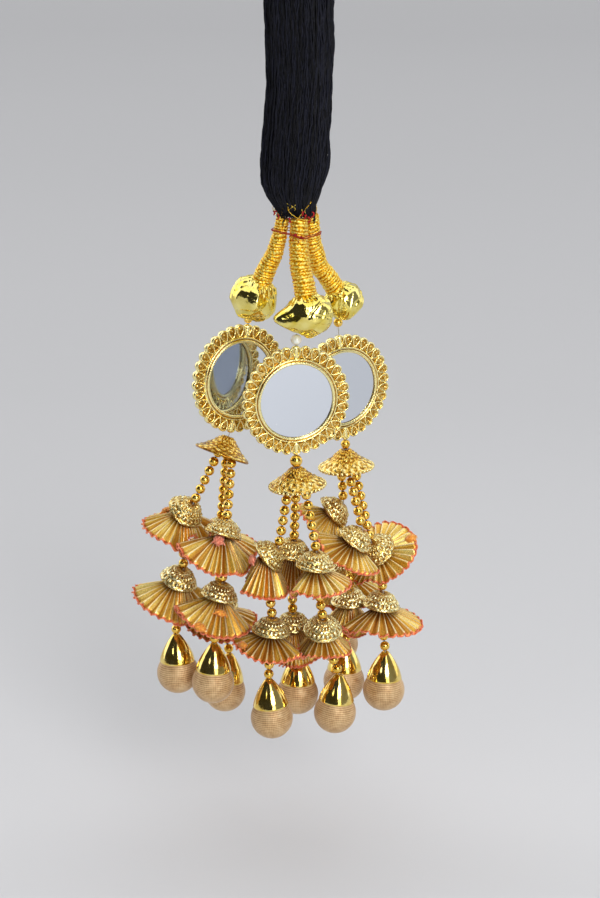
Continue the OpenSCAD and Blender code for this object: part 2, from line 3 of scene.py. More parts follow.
import bpy
import numpy as np
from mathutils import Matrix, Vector


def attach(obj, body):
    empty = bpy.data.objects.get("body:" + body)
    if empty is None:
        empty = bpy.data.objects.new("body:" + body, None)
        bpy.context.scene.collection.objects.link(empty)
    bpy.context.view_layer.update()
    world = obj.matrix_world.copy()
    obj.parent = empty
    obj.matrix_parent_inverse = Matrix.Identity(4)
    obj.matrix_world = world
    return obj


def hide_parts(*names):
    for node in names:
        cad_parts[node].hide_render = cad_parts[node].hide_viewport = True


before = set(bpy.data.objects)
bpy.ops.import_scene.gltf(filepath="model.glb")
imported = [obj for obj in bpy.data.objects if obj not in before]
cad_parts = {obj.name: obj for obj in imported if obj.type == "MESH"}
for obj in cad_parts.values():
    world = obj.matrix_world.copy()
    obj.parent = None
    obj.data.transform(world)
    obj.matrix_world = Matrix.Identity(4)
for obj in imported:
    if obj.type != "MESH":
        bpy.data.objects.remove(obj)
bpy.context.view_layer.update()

# Braid tassel: black hank, gold-wound stems, foil balls, framed mirrors, bead strings with
# pleated ribbon flowers and wound drops. Lengths below are in millimetres.
body = "root"
mm = 0.001
tau = 2 * math.pi
sides = ["left", "centre", "right"]
stringNames = [f"{side}_{k}" for side in sides for k in (1, 2, 3)]
rng = np.random.default_rng(7)

# Camera

cameraSetup = {
    "aim": (0, 0, -191),
    "distance": 900,
    "pitch": 17,
    "focalPixels": 2250,
    "frameHeight": 898,
}


def makeCamera(setup):
    # the camera stands its distance off the aim, pitch degrees above the level, and looks back down at the aim
    pitch = math.radians(setup["pitch"])
    aim = Vector(setup["aim"]) * mm
    back = Vector((0, -math.cos(pitch), math.sin(pitch))) * setup["distance"] * mm
    data = bpy.data.cameras.new("camera")
    data.sensor_width = 36
    data.lens = setup["focalPixels"] / setup["frameHeight"] * data.sensor_width
    data.clip_end = 50
    camera = bpy.data.objects.new("camera", data)
    bpy.context.scene.collection.objects.link(camera)
    camera.location = aim + back
    camera.rotation_euler = (math.radians(90) - pitch, 0, 0)
    bpy.context.scene.camera = camera


makeCamera(cameraSetup)
print("camera set")

# Vectors as arrays: the last axis holds x, y, z


def unit(v):
    # v over its length
    v = np.asarray(v, float)
    return v / np.linalg.norm(v, axis=-1, keepdims=True)


def leaned(lean, side):
    # the Z axis tipped by lean degrees away from the side that it lifts
    lean, side = np.radians(lean), np.radians(side)
    return np.array([-np.sin(lean) * np.cos(side), -np.sin(lean) * np.sin(side), np.cos(lean)])


def axesAlong(way):
    # two directions square to way, then way itself, as the rows of a matrix
    way = unit(way)
    across = unit(np.cross(way, [0, 1, 0] if abs(way[1]) < 0.9 else [1, 0, 0]))
    return np.array([across, np.cross(way, across), way])


def leaningAxes(lean, side):
    # the axes of a thing turned to side and then tipped by lean
    a, b = math.radians(lean), math.radians(side)
    x = np.array([math.cos(a) * math.cos(b), math.cos(a) * math.sin(b), math.sin(a)])
    y = np.array([-math.sin(b), math.cos(b), 0])
    return np.array([x, y, np.cross(x, y)])


def placed(points, at, axes):
    # at + x times the first axis + y times the second + z times the third
    return np.asarray(points) @ axes + np.asarray(at, float)


def ringAngles(count):
    # count angles evenly round a turn
    return np.arange(count) * tau / count


def aboutZ(r, angle, z):
    # points at distance r from the Z axis, at each angle and height
    return np.stack(np.broadcast_arrays(r * np.cos(angle), r * np.sin(angle), z), axis=-1)


def ringWay(path):
    # directions along a closed path, from each point's neighbours
    return unit(np.roll(path, -1, axis=0) - np.roll(path, 1, axis=0))


def lengthAlong(curve):
    # how far along the curve each of its points lies
    return np.concatenate([[0], np.cumsum(np.linalg.norm(np.diff(curve, axis=0), axis=1))])


def readAt(at, along, curve):
    # the curve's points at other distances along it
    return np.stack([np.interp(at, along, values) for values in curve.T], axis=-1)


def roundMean(values, width):
    # each value round a closed ring becomes the mean of itself and width neighbours each way
    return sum(np.roll(values, k, axis=0) for k in range(-width, width + 1)) / (2 * width + 1)


# Meshes: a shape is a list of parts, and a part is (points, faces)


def gridPart(grid, closeRows=True):
    # points of a grid of rows and columns, with a four-sided face between each four neighbours: each row
    # closes on itself, and the last row joins the first unless closeRows is off
    rows, columns = grid.shape[:2]
    i = np.arange(rows if closeRows else rows - 1)[:, None]
    j = np.arange(columns)[None, :]
    k, m = (i + 1) % rows, (j + 1) % columns
    faces = np.stack([i * columns + j, i * columns + m, k * columns + m, k * columns + j], axis=-1)
    return grid.reshape(-1, 3), faces.reshape(-1, 4)


def capped(grid):
    # a tube of rings, with a middle point and a fan of triangles at each end
    rows, columns = grid.shape[:2]
    points, faces = gridPart(grid, closeRows=False)
    first, last = len(points), len(points) + 1
    j = np.arange(columns)
    m = (j + 1) % columns
    start = np.stack([np.full(columns, first), m, j], axis=-1)
    end = np.stack([np.full(columns, last), (rows - 1) * columns + j, (rows - 1) * columns + m], axis=-1)
    points = np.concatenate([points, grid[:1].mean(axis=1), grid[-1:].mean(axis=1)])
    return points, [faces, start, end]


def turned(radii, heights, columns):
    # rings of those radii and heights, round the Z axis
    return aboutZ(np.asarray(radii, float)[:, None], ringAngles(columns), np.asarray(heights, float)[:, None])


def ballPart(radius, rings, columns):
    # a small sphere with closed poles
    polar = np.linspace(math.pi - 0.2, 0.2, rings)
    return capped(turned(radius * np.sin(polar), radius * np.cos(polar), columns))


def crossRing(angle, across, other):
    # a ring at each point: cos(angle) x across + sin(angle) x other
    return np.cos(angle)[:, None] * across[..., None, :] + np.sin(angle)[:, None] * other[..., None, :]


def tubeGrid(path, radius, columns):
    # rings square to a path, each one started from the same fixed direction
    path = np.asarray(path, float)
    way = unit(np.gradient(path, axis=0))
    start = np.array([1, 0, 0]) if abs(way[0][0]) < 0.9 else np.array([0, 1, 0])
    across = unit(start - way * (way @ start)[:, None])
    return path[:, None] + radius * crossRing(ringAngles(columns), across, np.cross(way, across))


def tubes(paths, radius, columns):
    # many tubes at once: paths is strands x points x 3, and each ring is square to its own strand
    way = unit(np.gradient(paths, axis=1))
    across = unit(np.cross(way, [0.31, 0.95, 0.02]))
    grids = paths[:, :, None] + radius * crossRing(ringAngles(columns), across, np.cross(way, across))
    return [capped(grid) for grid in grids]


def moved(parts, at, axes):
    # all the parts of a shape set at one place and turned to one set of axes
    return [(placed(points, at, axes), faces) for points, faces in parts]


def copies(part, places, axesList):
    # the same part set at each place, turned to each set of axes
    points, faces = part
    return [(placed(points, at, axes), faces) for at, axes in zip(places, axesList)]


def smoothPath(points, steps):
    # a Catmull-Rom curve through the points: each stretch blends its two ends and their slopes
    p = np.asarray(points, float)
    p = np.concatenate([2 * p[:1] - p[1:2], p, 2 * p[-1:] - p[-2:-1]])
    t = np.linspace(0, 1, steps, endpoint=False)[:, None]
    a, b, c, d = (p[k:len(p) - 3 + k, None] for k in range(4))
    curve = 0.5 * (2 * b + (c - a) * t + (2 * a - 5 * b + 4 * c - d) * t**2
                   + (3 * b - a - 3 * c + d) * t**3)
    return np.concatenate([curve.reshape(-1, p.shape[1]), p[-2:-1]])


def pointCount(parts):
    # how many points the parts have together
    return sum(len(points) for points, _ in parts)


def makePiece(name, parts, material, nodes, values=None):
    # joins the parts into one smooth mesh in metres; values are numbers kept on the points by name
    starts, counts, loops, points = 0, [], [], []
    for vertices, faces in parts:
        for block in (faces if isinstance(faces, list) else [faces]):
            loops.append((block + starts).ravel())
            counts.append(np.full(len(block), block.shape[1]))
        points.append(vertices)
        starts += len(vertices)
    points, loops, counts = np.concatenate(points), np.concatenate(loops), np.concatenate(counts)
    mesh = bpy.data.meshes.new(name)
    mesh.vertices.add(len(points))
    mesh.vertices.foreach_set("co", (points * mm).ravel())
    mesh.loops.add(len(loops))
    mesh.loops.foreach_set("vertex_index", loops.astype(np.int32))
    mesh.polygons.add(len(counts))
    mesh.polygons.foreach_set("loop_start", (np.cumsum(counts) - counts).astype(np.int32))
    mesh.polygons.foreach_set("use_smooth", np.full(len(counts), True))
    mesh.update(calc_edges=True)
    mesh.validate()
    for key, numbers in (values or {}).items():
        layer = mesh.attributes.new(key, "FLOAT", "POINT")
        layer.data.foreach_set("value", np.asarray(numbers, np.float32).ravel())
    piece = bpy.data.objects.new(name, mesh)
    bpy.context.scene.collection.objects.link(piece)
    mesh.materials.append(material)
    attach(piece, body)
    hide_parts(*nodes)
    return piece


# Materials


def joinSocket(tree, socket, value):
    # a link from another node's output, or else the socket's own value
    if isinstance(value, bpy.types.NodeSocket):
        tree.links.new(value, socket)
    else:
        socket.default_value = value


def addNode(tree, kind, inputs, settings):
    # a shader node with its settings, and its inputs by name or number
    item = tree.nodes.new("ShaderNode" + kind)
    for key, value in settings.items():
        setattr(item, key, value)
    for key, value in inputs.items():
        joinSocket(tree, item.inputs[key], value)
    return item


class Shader:
    # a Principled material and short ways to add nodes to it
    def __init__(self, name, **sockets):
        self.material = bpy.data.materials.new(name)
        self.material.use_nodes = True
        self.tree = self.material.node_tree
        self.base = self.tree.nodes["Principled BSDF"]
        for key, value in sockets.items():
            self.base.inputs[socketNames[key]].default_value = value
        self.place = self.add("TexCoord").outputs["Object"]

    def add(self, kind, inputs={}, **settings):
        return addNode(self.tree, kind, inputs, settings)

    def join(self, socket, value):
        joinSocket(self.tree, socket, value)

    def value(self, name):
        # the numbers kept on the points by that name
        return self.add("Attribute", attribute_name=name).outputs["Fac"]

    def noise(self, size, detail=3, place=None):
        # cloudy noise with lumps of that size in mm, about 0.3 to 0.7
        inputs = {"Vector": place or self.place, "Scale": 1 / (size * mm), "Detail": detail}
        return self.add("TexNoise", inputs).outputs["Fac"]

    def cells(self, size, feature="F1"):
        # distance to the nearest of scattered points about size mm apart, as a share of that
        inputs = {"Vector": self.place, "Scale": 1 / (size * mm)}
        return self.add("TexVoronoi", inputs, feature=feature).outputs["Distance"]

    def sums(self, operation, a, b):
        return self.add("Math", {0: a, 1: b}, operation=operation).outputs[0]

    def spread(self, value, low, high, newLow=0, newHigh=1):
        # low to high becomes newLow to newHigh in a straight line, and stops there
        inputs = {"Value": value, "From Min": low, "From Max": high, "To Min": newLow, "To Max": newHigh}
        return self.add("MapRange", inputs).outputs["Result"]

    def ragged(self, value, size, detail, by):
        # the value, up to that much more or less by noise
        return self.sums("ADD", value, self.spread(self.noise(size, detail), 0.3, 0.7, -by, by))

    def colours(self, value, stops):
        # colours blended between stops, each at its own value
        ramp = self.add("ValToRGB", {"Fac": value})
        marks = ramp.color_ramp.elements
        while len(marks) < len(stops):
            marks.new(0.5)
        for mark, (at, colour) in zip(marks, stops):
            mark.position = at
            mark.color = (*colour, 1)
        return ramp.outputs["Color"]

    def mixed(self, factor, a, b):
        # a where the factor is 0, b where it is 1
        mix = self.add("Mix", data_type="RGBA")
        self.join(mix.inputs["Factor"], factor)
        for socket, colour in ((mix.inputs[6], a), (mix.inputs[7], b)):
            self.join(socket, colour if isinstance(colour, bpy.types.NodeSocket) else (*colour, 1))
        return mix.outputs[2]

    def paint(self, colour):
        self.join(self.base.inputs["Base Color"], colour)

    def bump(self, height, depth):
        # relief without any change of shape: height times depth in mm
        inputs = {"Height": height, "Distance": depth * mm, "Strength": 1}
        self.join(self.base.inputs["Normal"], self.add("Bump", inputs).outputs["Normal"])

    def roughness(self, value):
        self.join(self.base.inputs["Roughness"], value)


def twoTone(name, size, low, high, top, grain, **sockets):
    # colour from low to high by noise of that size, high from top up, over a bump of (size, detail, depth)
    look = Shader(name, **sockets)
    look.paint(look.colours(look.noise(size), [(0.3, low), (top, high)]))
    look.bump(look.noise(*grain[:2]), grain[2])
    return look.material


socketNames = {
    "metal": "Metallic", "rough": "Roughness", "coat": "Coat Weight", "coatRough": "Coat Roughness",
    "sheen": "Sheen Weight", "sheenRough": "Sheen Roughness", "clear": "Transmission Weight", "ior": "IOR",
    "shine": "Specular IOR Level", "under": "Subsurface Weight",
}

goldLook = {
    "beadDeep": (0.78, 0.45, 0.04),
    "beadBright": (1, 0.7, 0.17),
    "castDeep": (0.6, 0.32, 0.035),
    "castBright": (0.98, 0.86, 0.4),
    "capDeep": (0.66, 0.46, 0.12),
    "capBright": (1, 0.95, 0.56),
    "dropDeep": (0.85, 0.55, 0.08),
    "dropBright": (1, 0.78, 0.26),
    "bellDeep": (0.76, 0.48, 0.07),
    "bellBright": (0.98, 0.82, 0.36),
    # the colour painted in hollows, painted shade
    "hollowShade": (0.36, 0.15, 0.015),
}


def polishedGold(name, deep, bright, rough, dents):
    # lacquered gold: colour wanders between two golds, with shallow dents and a few dull spots
    look = Shader(name, metal=1, rough=rough)
    look.paint(look.colours(look.noise(3.5), [(0.3, deep), (0.62, bright)]))
    look.roughness(look.spread(look.noise(1.1, 4), 0.35, 0.75, rough * 0.75, rough * 1.9))
    look.bump(look.noise(1.6, 2), dents)
    return look.material


def castGold(name, deep, bright, rough, metal=1):
    # gold over cast relief: the attribute "high" is 1 on crests and 0 in hollows; the colour follows it, with
    # painted shade darkest in the hollows and a painted highlight on the crests
    look = Shader(name, metal=metal, rough=rough)
    # painted shade and highlight: "high" with a little random tone, dark in the hollows and bright on the crests
    reliefShade = look.ragged(look.value("high"), 0.9, 4, 0.25)
    look.paint(look.colours(reliefShade, [(0, goldLook["hollowShade"]), (0.2, deep), (0.58, bright)]))
    look.roughness(look.spread(reliefShade, 0, 1, rough * 1.7, rough * 0.8))
    look.bump(look.sums("ADD", look.noise(0.35, 3), look.noise(1.4, 2)), 0.09)
    return look.material


beadGold = polishedGold("beadGold", goldLook["beadDeep"], goldLook["beadBright"], 0.13, 0.02)
dropGold = polishedGold("dropGold", goldLook["dropDeep"], goldLook["dropBright"], 0.09, 0.05)
frameGold = castGold("frameGold", goldLook["castDeep"], goldLook["castBright"], 0.13)
capGold = castGold("capGold", goldLook["capDeep"], goldLook["capBright"], 0.17, 0.85)
bellGold = castGold("bellGold", goldLook["bellDeep"], goldLook["bellBright"], 0.12)
print("gold materials made")

# Tables: the places of the pieces, as in the CAD source

frameRows = {  # middle, turn about Z, roll
    "left": ((-24.3, 5, -163.1), 36, -12),
    "centre": ((-1.6, -10, -168), 18, 0),
    "right": ((17.1, 20, -171), 31, 4.5),
}
bellRows = {  # apex, lean, side that it lifts, radius of the bead above
    "left": ((-28.6, 2, -186.3), 25, 217, 0),
    "centre": ((-1.5, -10, -195.5), 4, 20, 2.5),
    "right": ((18.6, 20.8, -197.4), 3, 0, 1.95),
}
neckRows = {  # middle and radius of the bead under each foil ball
    "left": ((-20.6, 7.6, -139.4), 1.75),
    "centre": ((-1.5, -9.6, -143.5), 2.1),
    "right": ((15.3, 18.5, -143.5), 1.9),
}
stringRows = [  # start under the bell cap, tip of the drop, middle of its ball
    [(-31.6, 0.2, -190.2), (-50.8, -1, -270), (-50.3, -1, -286.5)],
    [(-27, -0.2, -190.4), (-34.7, -13, -269.3), (-35.4, -13, -286.2)],
    [(-29.2, 4.8, -190.3), (-29.2, 11, -283.6), (-31.4, 11, -300)],
    [(-3.8, -11.4, -198.2), (-12.7, -18, -282.7), (-11.4, -18, -300.1)],
    [(1, -11.4, -198.2), (15.9, -14, -282.2), (14.3, -14, -298.6)],
    [(-1.4, -7.2, -198.2), (-0.8, 4.4, -281.8), (-1, 4.4, -298.6)],
    [(16.6, 22.4, -200.2), (17, 37, -272.6), (16.3, 37, -289.4)],
    [(18.3, 18, -200.2), (18.8, 13, -279.6), (18.4, 13, -296.4)],
    [(21.2, 22.2, -200.2), (35.1, -1, -277.8), (34.6, -1, -294.5)],
]
# tip of the cap, lean of the cap, side that it lifts, lean of the skirt, spread to the sides,
# spread to front and back, radius of the skirt, share of the room that it takes
flowerRows = [
    [(-42.9, -3, -213), 42, 150, 7, 68, 60, 17, 0.8],
    [(-47.2, -3, -241), 25, 150, 8, 70, 50, 18.5, 0.9],
    [(-29.2, -10, -217.8), 25, 225, 12, 72, 30, 18, 2],
    [(-31.1, -12, -243.4), 15, 190, 22, 62, 38, 18, 2],
    [(-32.4, 14, -225.3), 8, 90, 8, 62, 60, 16.5, 1],
    [(-33.5, 13, -257.5), 8, 90, 8, 70, 50, 16, 1],
    [(-8.6, -18, -226.6), 48, 180, 12, 44, 32, 17.5, 1.4],
    [(-11, -18, -256.3), 8, 190, 6, 74, 58, 15.5, 1.3],
    [(6.6, -20, -227.6), 5, 180, 5, 68, 60, 15.5, 1.2],
    [(9.2, -16, -257.5), 20, 90, 0, 48, 60, 14, 1.1],
    [(-2.4, -3, -228.4), 10, 150, 10, 50, 40, 16, 0.7],
    [(-3, 1, -261.5), 0, 0, 0, 45, 45, 17, 0.8],
    [(18, 22, -221.5), 50, 180, 35, 64, 60, 14, 1],
    [(18.5, 32, -250), 8, 90, 8, 62, 60, 16.5, 1],
    [(25.5, 4, -226.7), 36, 180, 30, 72, 62, 15.5, 1.4],
    [(20.5, 15, -256.2), 0, 0, 0, 40, 40, 12.5, 0.7],
    [(29.2, 12, -235), 42, 50, 38, 80, 86, 16, 2],
    [(34.2, 6, -254.3), 8, 180, 10, 76, 72, 18.5, 1.5],
]
sizes = {"bead": 4, "gap": 0.12, "frame": 22.2, "flowerDrop": 7.2, "thread": 0.25, "gather": 2.6,
         "ball": 17.2, "drop": 25.4, "dropCap": 7.2, "ribbon": 1, "pleatHalf": 0.55}
tips = np.array([row[0] for row in flowerRows], float)
capWays = np.array([leaned(row[1], row[2]) for row in flowerRows])
hubs = tips - capWays * sizes["flowerDrop"]
dropTips = np.array([row[1] for row in stringRows], float)
dropBalls = np.array([row[2] for row in stringRows], float)
dropWays = unit(dropTips - dropBalls)


def stops(s):
    # where the thread of string s bends
    return np.array([stringRows[s][0], tips[2 * s], hubs[2 * s], tips[2 * s + 1], hubs[2 * s + 1], dropTips[s]])


def runWay(s, k):
    # the direction up run k of string s, from its lower bend to its upper one
    return unit(stops(s)[2 * k] - stops(s)[2 * k + 1])


def frameAxes(side):
    # across the frame, up in its plane, and out of its face
    _, yaw, roll = frameRows[side]
    a, b = math.radians(yaw), math.radians(roll)
    right = np.array([math.cos(a), math.sin(a), 0])
    face = np.array([math.sin(a), -math.cos(a), 0])
    up = np.array([0, 0, 1])
    return np.array([math.cos(b) * right + math.sin(b) * up, -math.sin(b) * right + math.cos(b) * up, face])


def frameEnd(side, sign):
    # the frame's middle + its own up x its radius, or less that where sign is -1
    return np.array(frameRows[side][0]) + frameAxes(side)[1] * sizes["frame"] * sign


# Ribbon skirts: how wide and how long each one is, round its hub

skirtFit = {"pleatRoom": 1.7, "ribbonLow": 6, "skirtNear": 13, "ballNear": 12, "capShade": 5,
            "ownClear": 14, "crushed": 8, "spreadStep": 1.5, "spreadTries": 60, "lengthStep": 0.5,
            "lengthTries": 30, "perchSteps": 56, "perchStep": 0.2}


def stringAt(s, z):
    # the point of string s at height z, straight between the two bends of its run
    at = stops(s)
    k = 0 if z > at[1][2] else 2 if z > at[3][2] else 4
    t = min(1, max(0, (z - at[k][2]) / (at[k + 1][2] - at[k][2])))
    return at[k] + (at[k + 1] - at[k]) * t


def skirtRooms(f):
    # level directions from a hub, and how far its skirt may reach along each
    own, hub, room = f // 2, hubs[f], skirtFit["pleatRoom"]
    level = np.array([1, 1, 0])
    found = []
    for g in range(len(flowerRows)):
        if g // 2 != own and abs(hubs[g][2] - hub[2]) < skirtFit["skirtNear"]:
            share = flowerRows[f][7] / (flowerRows[f][7] + flowerRows[g][7])
            found.append(((hubs[g] - hub) * level, share, room / 2))
    for s in range(len(stringRows)):
        if s != own:
            beside = (stringAt(s, hub[2] - skirtFit["ribbonLow"]) - hub) * level
            found.append((beside, 1, sizes["bead"] / 2 + room))
        if s != own and abs(dropBalls[s][2] - hub[2] + skirtFit["ribbonLow"]) < skirtFit["ballNear"]:
            found.append(((dropBalls[s] - hub) * level, 1, sizes["ball"] / 2 + room))
    ways = np.array([unit(away) for away, _, _ in found])
    reach = np.array([np.linalg.norm(away) * share - less for away, share, less in found])
    return ways, reach


def ribbonWay(f, angle, spread):
    # sin(spread) times the rim's direction, less cos(spread) times the skirt's upward axis
    lean, side = flowerRows[f][3], flowerRows[f][2]
    across, beside, _ = leaningAxes(lean, side)
    b, t = np.radians(angle)[:, None] - math.radians(side), np.radians(spread)[:, None]
    rim = np.cos(b) * across + np.sin(b) * beside
    return np.sin(t) * rim - np.cos(t) * leaned(lean, side)


def gatherRing(f, angle):
    # from a hub out to its gathered ring, square to the skirt's axis
    return ribbonWay(f, angle, np.full(len(angle), 90.0)) * sizes["gather"]


def skirtShape(f, angle):
    # the spread and length of the ribbon at each angle: spread falls until the ribbon fits its rooms
    row = flowerRows[f]
    ways, reach = skirtRooms(f)
    down = -runWay(f // 2, 1 + f % 2)
    slope, toward = math.degrees(math.acos(-down[2])), math.degrees(math.atan2(down[1], down[0]))
    tilt = slope * np.cos(np.radians(angle - toward)) - row[3] * np.cos(np.radians(angle - row[2]))
    low = skirtFit["ownClear"] + np.maximum(0, tilt)
    spread = row[4] * np.cos(np.radians(angle))**2 + row[5] * np.sin(np.radians(angle))**2
    rim = gatherRing(f, angle)
    full = row[6] - sizes["gather"]
    for _ in range(skirtFit["spreadTries"]):
        way = ribbonWay(f, angle, spread)
        shaded = (rim + way * skirtFit["capShade"]) @ capWays[f] < 0
        fits = shaded & ((reach - (rim + way * full) @ ways.T).min(axis=1) > 0)
        spread = np.where(fits | (spread <= low), spread, np.maximum(low, spread - skirtFit["spreadStep"]))
    way, long = ribbonWay(f, angle, spread), np.full(len(angle), full)
    for _ in range(skirtFit["lengthTries"]):
        fits = (reach - (rim + way * long[:, None]) @ ways.T).min(axis=1) > 0
        long = np.where(fits | (long <= skirtFit["crushed"]), long, long - skirtFit["lengthStep"])
    return spread, long


def perch(f):
    # least depth below its hub at which a bead is clear of the ribbon
    angle = np.arange(skirtFit["perchSteps"]) * 360 / skirtFit["perchSteps"]
    spread, long = skirtShape(f, angle)
    inner = hubs[f] + gatherRing(f, angle)
    way, depth, half = ribbonWay(f, angle, spread), sizes["bead"] / 2 + 0.05, sizes["bead"] / 2
    while True:
        offset = hubs[f] - runWay(f // 2, 1 + f % 2) * depth - inner
        along = np.clip((offset * way).sum(axis=1), 0, long)
        off = np.linalg.norm(offset - along[:, None] * way, axis=1) - sizes["pleatHalf"] * along / long
        if off.min() > half + sizes["ribbon"] / 2 + sizes["gap"]:
            return depth
        depth += skirtFit["perchStep"]


# Beads

beadLook = {"rings": 12, "columns": 20, "bore": 0.6}


def beadPart(radius):
    # a sphere's arc from bore to bore; the last ring joins the first through the bore
    edge = math.asin(beadLook["bore"] / radius)
    polar = np.linspace(math.pi - edge, edge, beadLook["rings"])
    grid = turned(radius * np.sin(polar), radius * np.cos(polar), beadLook["columns"])
    return gridPart(grid)


def stringBeads(s):
    # each run's beads stand on its lower end, and in a flower one more sits at its top
    places, step, half = [], sizes["bead"] + sizes["gap"], sizes["bead"] / 2
    at = stops(s)
    for k in range(3):
        way = runWay(s, k)
        cap = capWays[2 * s + k] if k < 2 else dropWays[s]
        seat = (half + sizes["gap"]) / max(0.5, way @ cap) + 0.1
        top = half + 0.5 if k == 0 else perch(2 * s + k - 1)
        steps = int((np.linalg.norm(at[2 * k] - at[2 * k + 1]) - seat - top) / step)
        places += [(at[2 * k + 1] + way * (seat + j * step), way) for j in range(steps + (k == 0))]
        if k > 0:
            places.append((at[2 * k] - way * top, way))
    return places


def makeBeads():
    # the same bead at each place of a string, its bore along the thread
    ball = beadPart(sizes["bead"] / 2)
    for s, name in enumerate(stringNames):
        found = stringBeads(s)
        parts = copies(ball, [at for at, _ in found], [axesAlong(way) for _, way in found])
        makePiece(f"beads_on_{name}", parts, beadGold, [f"beads_{name}"])
    print("string beads made")


def makeSingleBeads():
    # the beads under the balls and over the bell caps, each on its own stretch of thread
    for side, (at, radius) in neckRows.items():
        parts = copies(beadPart(radius), [at], [axesAlong(np.array(at) - frameEnd(side, 1))])
        pale = side == "centre"
        material, slotName = (pearlPlastic, "pearl_bead") if pale else (beadGold, "gold_bead")
        makePiece(f"bead_under_ball_{side}", parts, material, [f"neck_bead_{side}"])
    for side, (apex, _, _, radius) in bellRows.items():
        if radius:
            low = frameEnd(side, -1)
            parts = copies(beadPart(radius), [(low + apex) / 2], [axesAlong(low - apex)])
            makePiece(f"bead_over_bell_{side}", parts, beadGold, [f"cap_bead_{side}"])
    print("single beads made")


# pale lacquered plastic with a warm cast that wanders
pearlPlastic = twoTone("pearlPlastic", 1.8, (0.78, 0.66, 0.42), (0.96, 0.92, 0.8), 0.65, (0.8, 3, 0.02),
                       rough=0.16, coat=0.6, coatRough=0.05, under=0.15)
makeBeads()
makeSingleBeads()

# Clear thread

threadLook = {"columns": 7, "inFrame": 2.6, "inBell": 1.6, "inDrop": 2, "knotDrop": 0.4, "knotOut": 0.7}


def makeThreads():
    # one thread from ball to frame, one from frame to bell cap, and one down each string, all of nearly clear line
    material = twoTone("clearThread", 1.2, (0.6, 0.56, 0.46), (0.9, 0.88, 0.82), 0.7, (0.4, 3, 0.03),
                       rough=0.2, clear=0.6, ior=1.5)
    for i, side in enumerate(sides):
        at, radius = neckRows[side]
        top, low, up = frameEnd(side, 1), frameEnd(side, -1), frameAxes(side)[1]
        apex, bellWay = np.array(bellRows[side][0]), leaned(*bellRows[side][1:3])
        away = unit(np.array(at) - top)
        paths = [[at + away * (radius + 0.05), top, top - up * threadLook["inFrame"]],
                 [low + up * threadLook["inFrame"], low, apex, apex - bellWay * threadLook["inBell"]]]
        knot = apex - bellWay * (threadLook["inBell"] + threadLook["knotDrop"])
        for s in range(3 * i, 3 * i + 3):
            start = knot + unit(stops(s)[0] - knot) * threadLook["knotOut"]
            paths.append([start, *stops(s), dropTips[s] - dropWays[s] * threadLook["inDrop"]])
        parts = [capped(tubeGrid(path, sizes["thread"], threadLook["columns"])) for path in paths]
        makePiece(f"clear_thread_{side}", parts, material, [f"thread_{side}"])
    print("threads made")


makeThreads()

# Drops

dropLook = {"columns": 48, "rings": 24, "tipRadius": 1.4, "lip": 0.45, "bore": 0.65, "bend": 68, "windPitch": 0.84,
            "windDepth": 0.06, "ballColumns": 36, "ballRows": 110}


def dropSizes():
    # the ball's radius, and how far below the tip its middle and the cap's rim lie: the rim is where the ball
    # is a little narrower than the cap, at middle - square root of (radius squared - that half width squared)
    radius = sizes["ball"] / 2
    middle = sizes["drop"] - radius
    rim = middle - math.sqrt(radius**2 - (sizes["dropCap"] - 0.7)**2)
    return radius, middle, rim


def dropCapPart():
    # outline: radius follows the first part of a sine from tip to rim, then a rounded lip turns in to the bore
    radius, middle, rim = dropSizes()
    u = np.linspace(0, 1, dropLook["rings"])
    tip, wide = dropLook["tipRadius"], sizes["dropCap"]
    bend = math.radians(dropLook["bend"])
    radii = tip + (wide - tip) * np.sin(bend * u**0.9) / math.sin(bend)
    heights = -rim * u
    inner = np.linspace(wide - dropLook["lip"], dropLook["bore"], 8)
    under = -middle + np.sqrt((radius + 0.15)**2 - inner**2)
    radii = np.concatenate([[dropLook["bore"], tip - 0.2], radii, [wide - 0.08, wide - 0.25], inner])
    heights = np.concatenate([[-0.15, 0.1], heights, [-rim - 0.1, -rim - 0.12], under])
    return gridPart(turned(radii, heights, dropLook["columns"])[::-1])


def woundBall(seed):
    # a sphere whose radius rises and falls with |sin| of the turns of thread, which wander a little
    radius, middle, _ = dropSizes()
    random = np.random.default_rng(seed)
    polar = np.linspace(0.02, math.pi - 0.02, dropLook["ballRows"])[:, None]
    angle = ringAngles(dropLook["ballColumns"])
    phase = random.uniform(0, tau, 3)
    sway = 0.006 * np.sin(2 * angle + phase[0]) + 0.003 * np.sin(5 * angle + phase[1])
    turn = radius * (polar + sway * np.sin(polar)) / dropLook["windPitch"]
    lap = 0.6 + 0.4 * np.sin(3 * angle + 2 * polar + phase[2])
    r = radius + dropLook["windDepth"] * (np.abs(np.sin(math.pi * turn)) - 1) * lap
    grid = aboutZ(r * np.sin(polar), angle, r * np.cos(polar) - middle)
    around = np.broadcast_to(tau / 2 - np.abs(angle - tau / 2), turn.shape)
    values = [np.concatenate([value[::-1].ravel(), value[-1, :1], value[0, :1]]) for value in (turn, around)]
    return capped(grid[::-1]), values


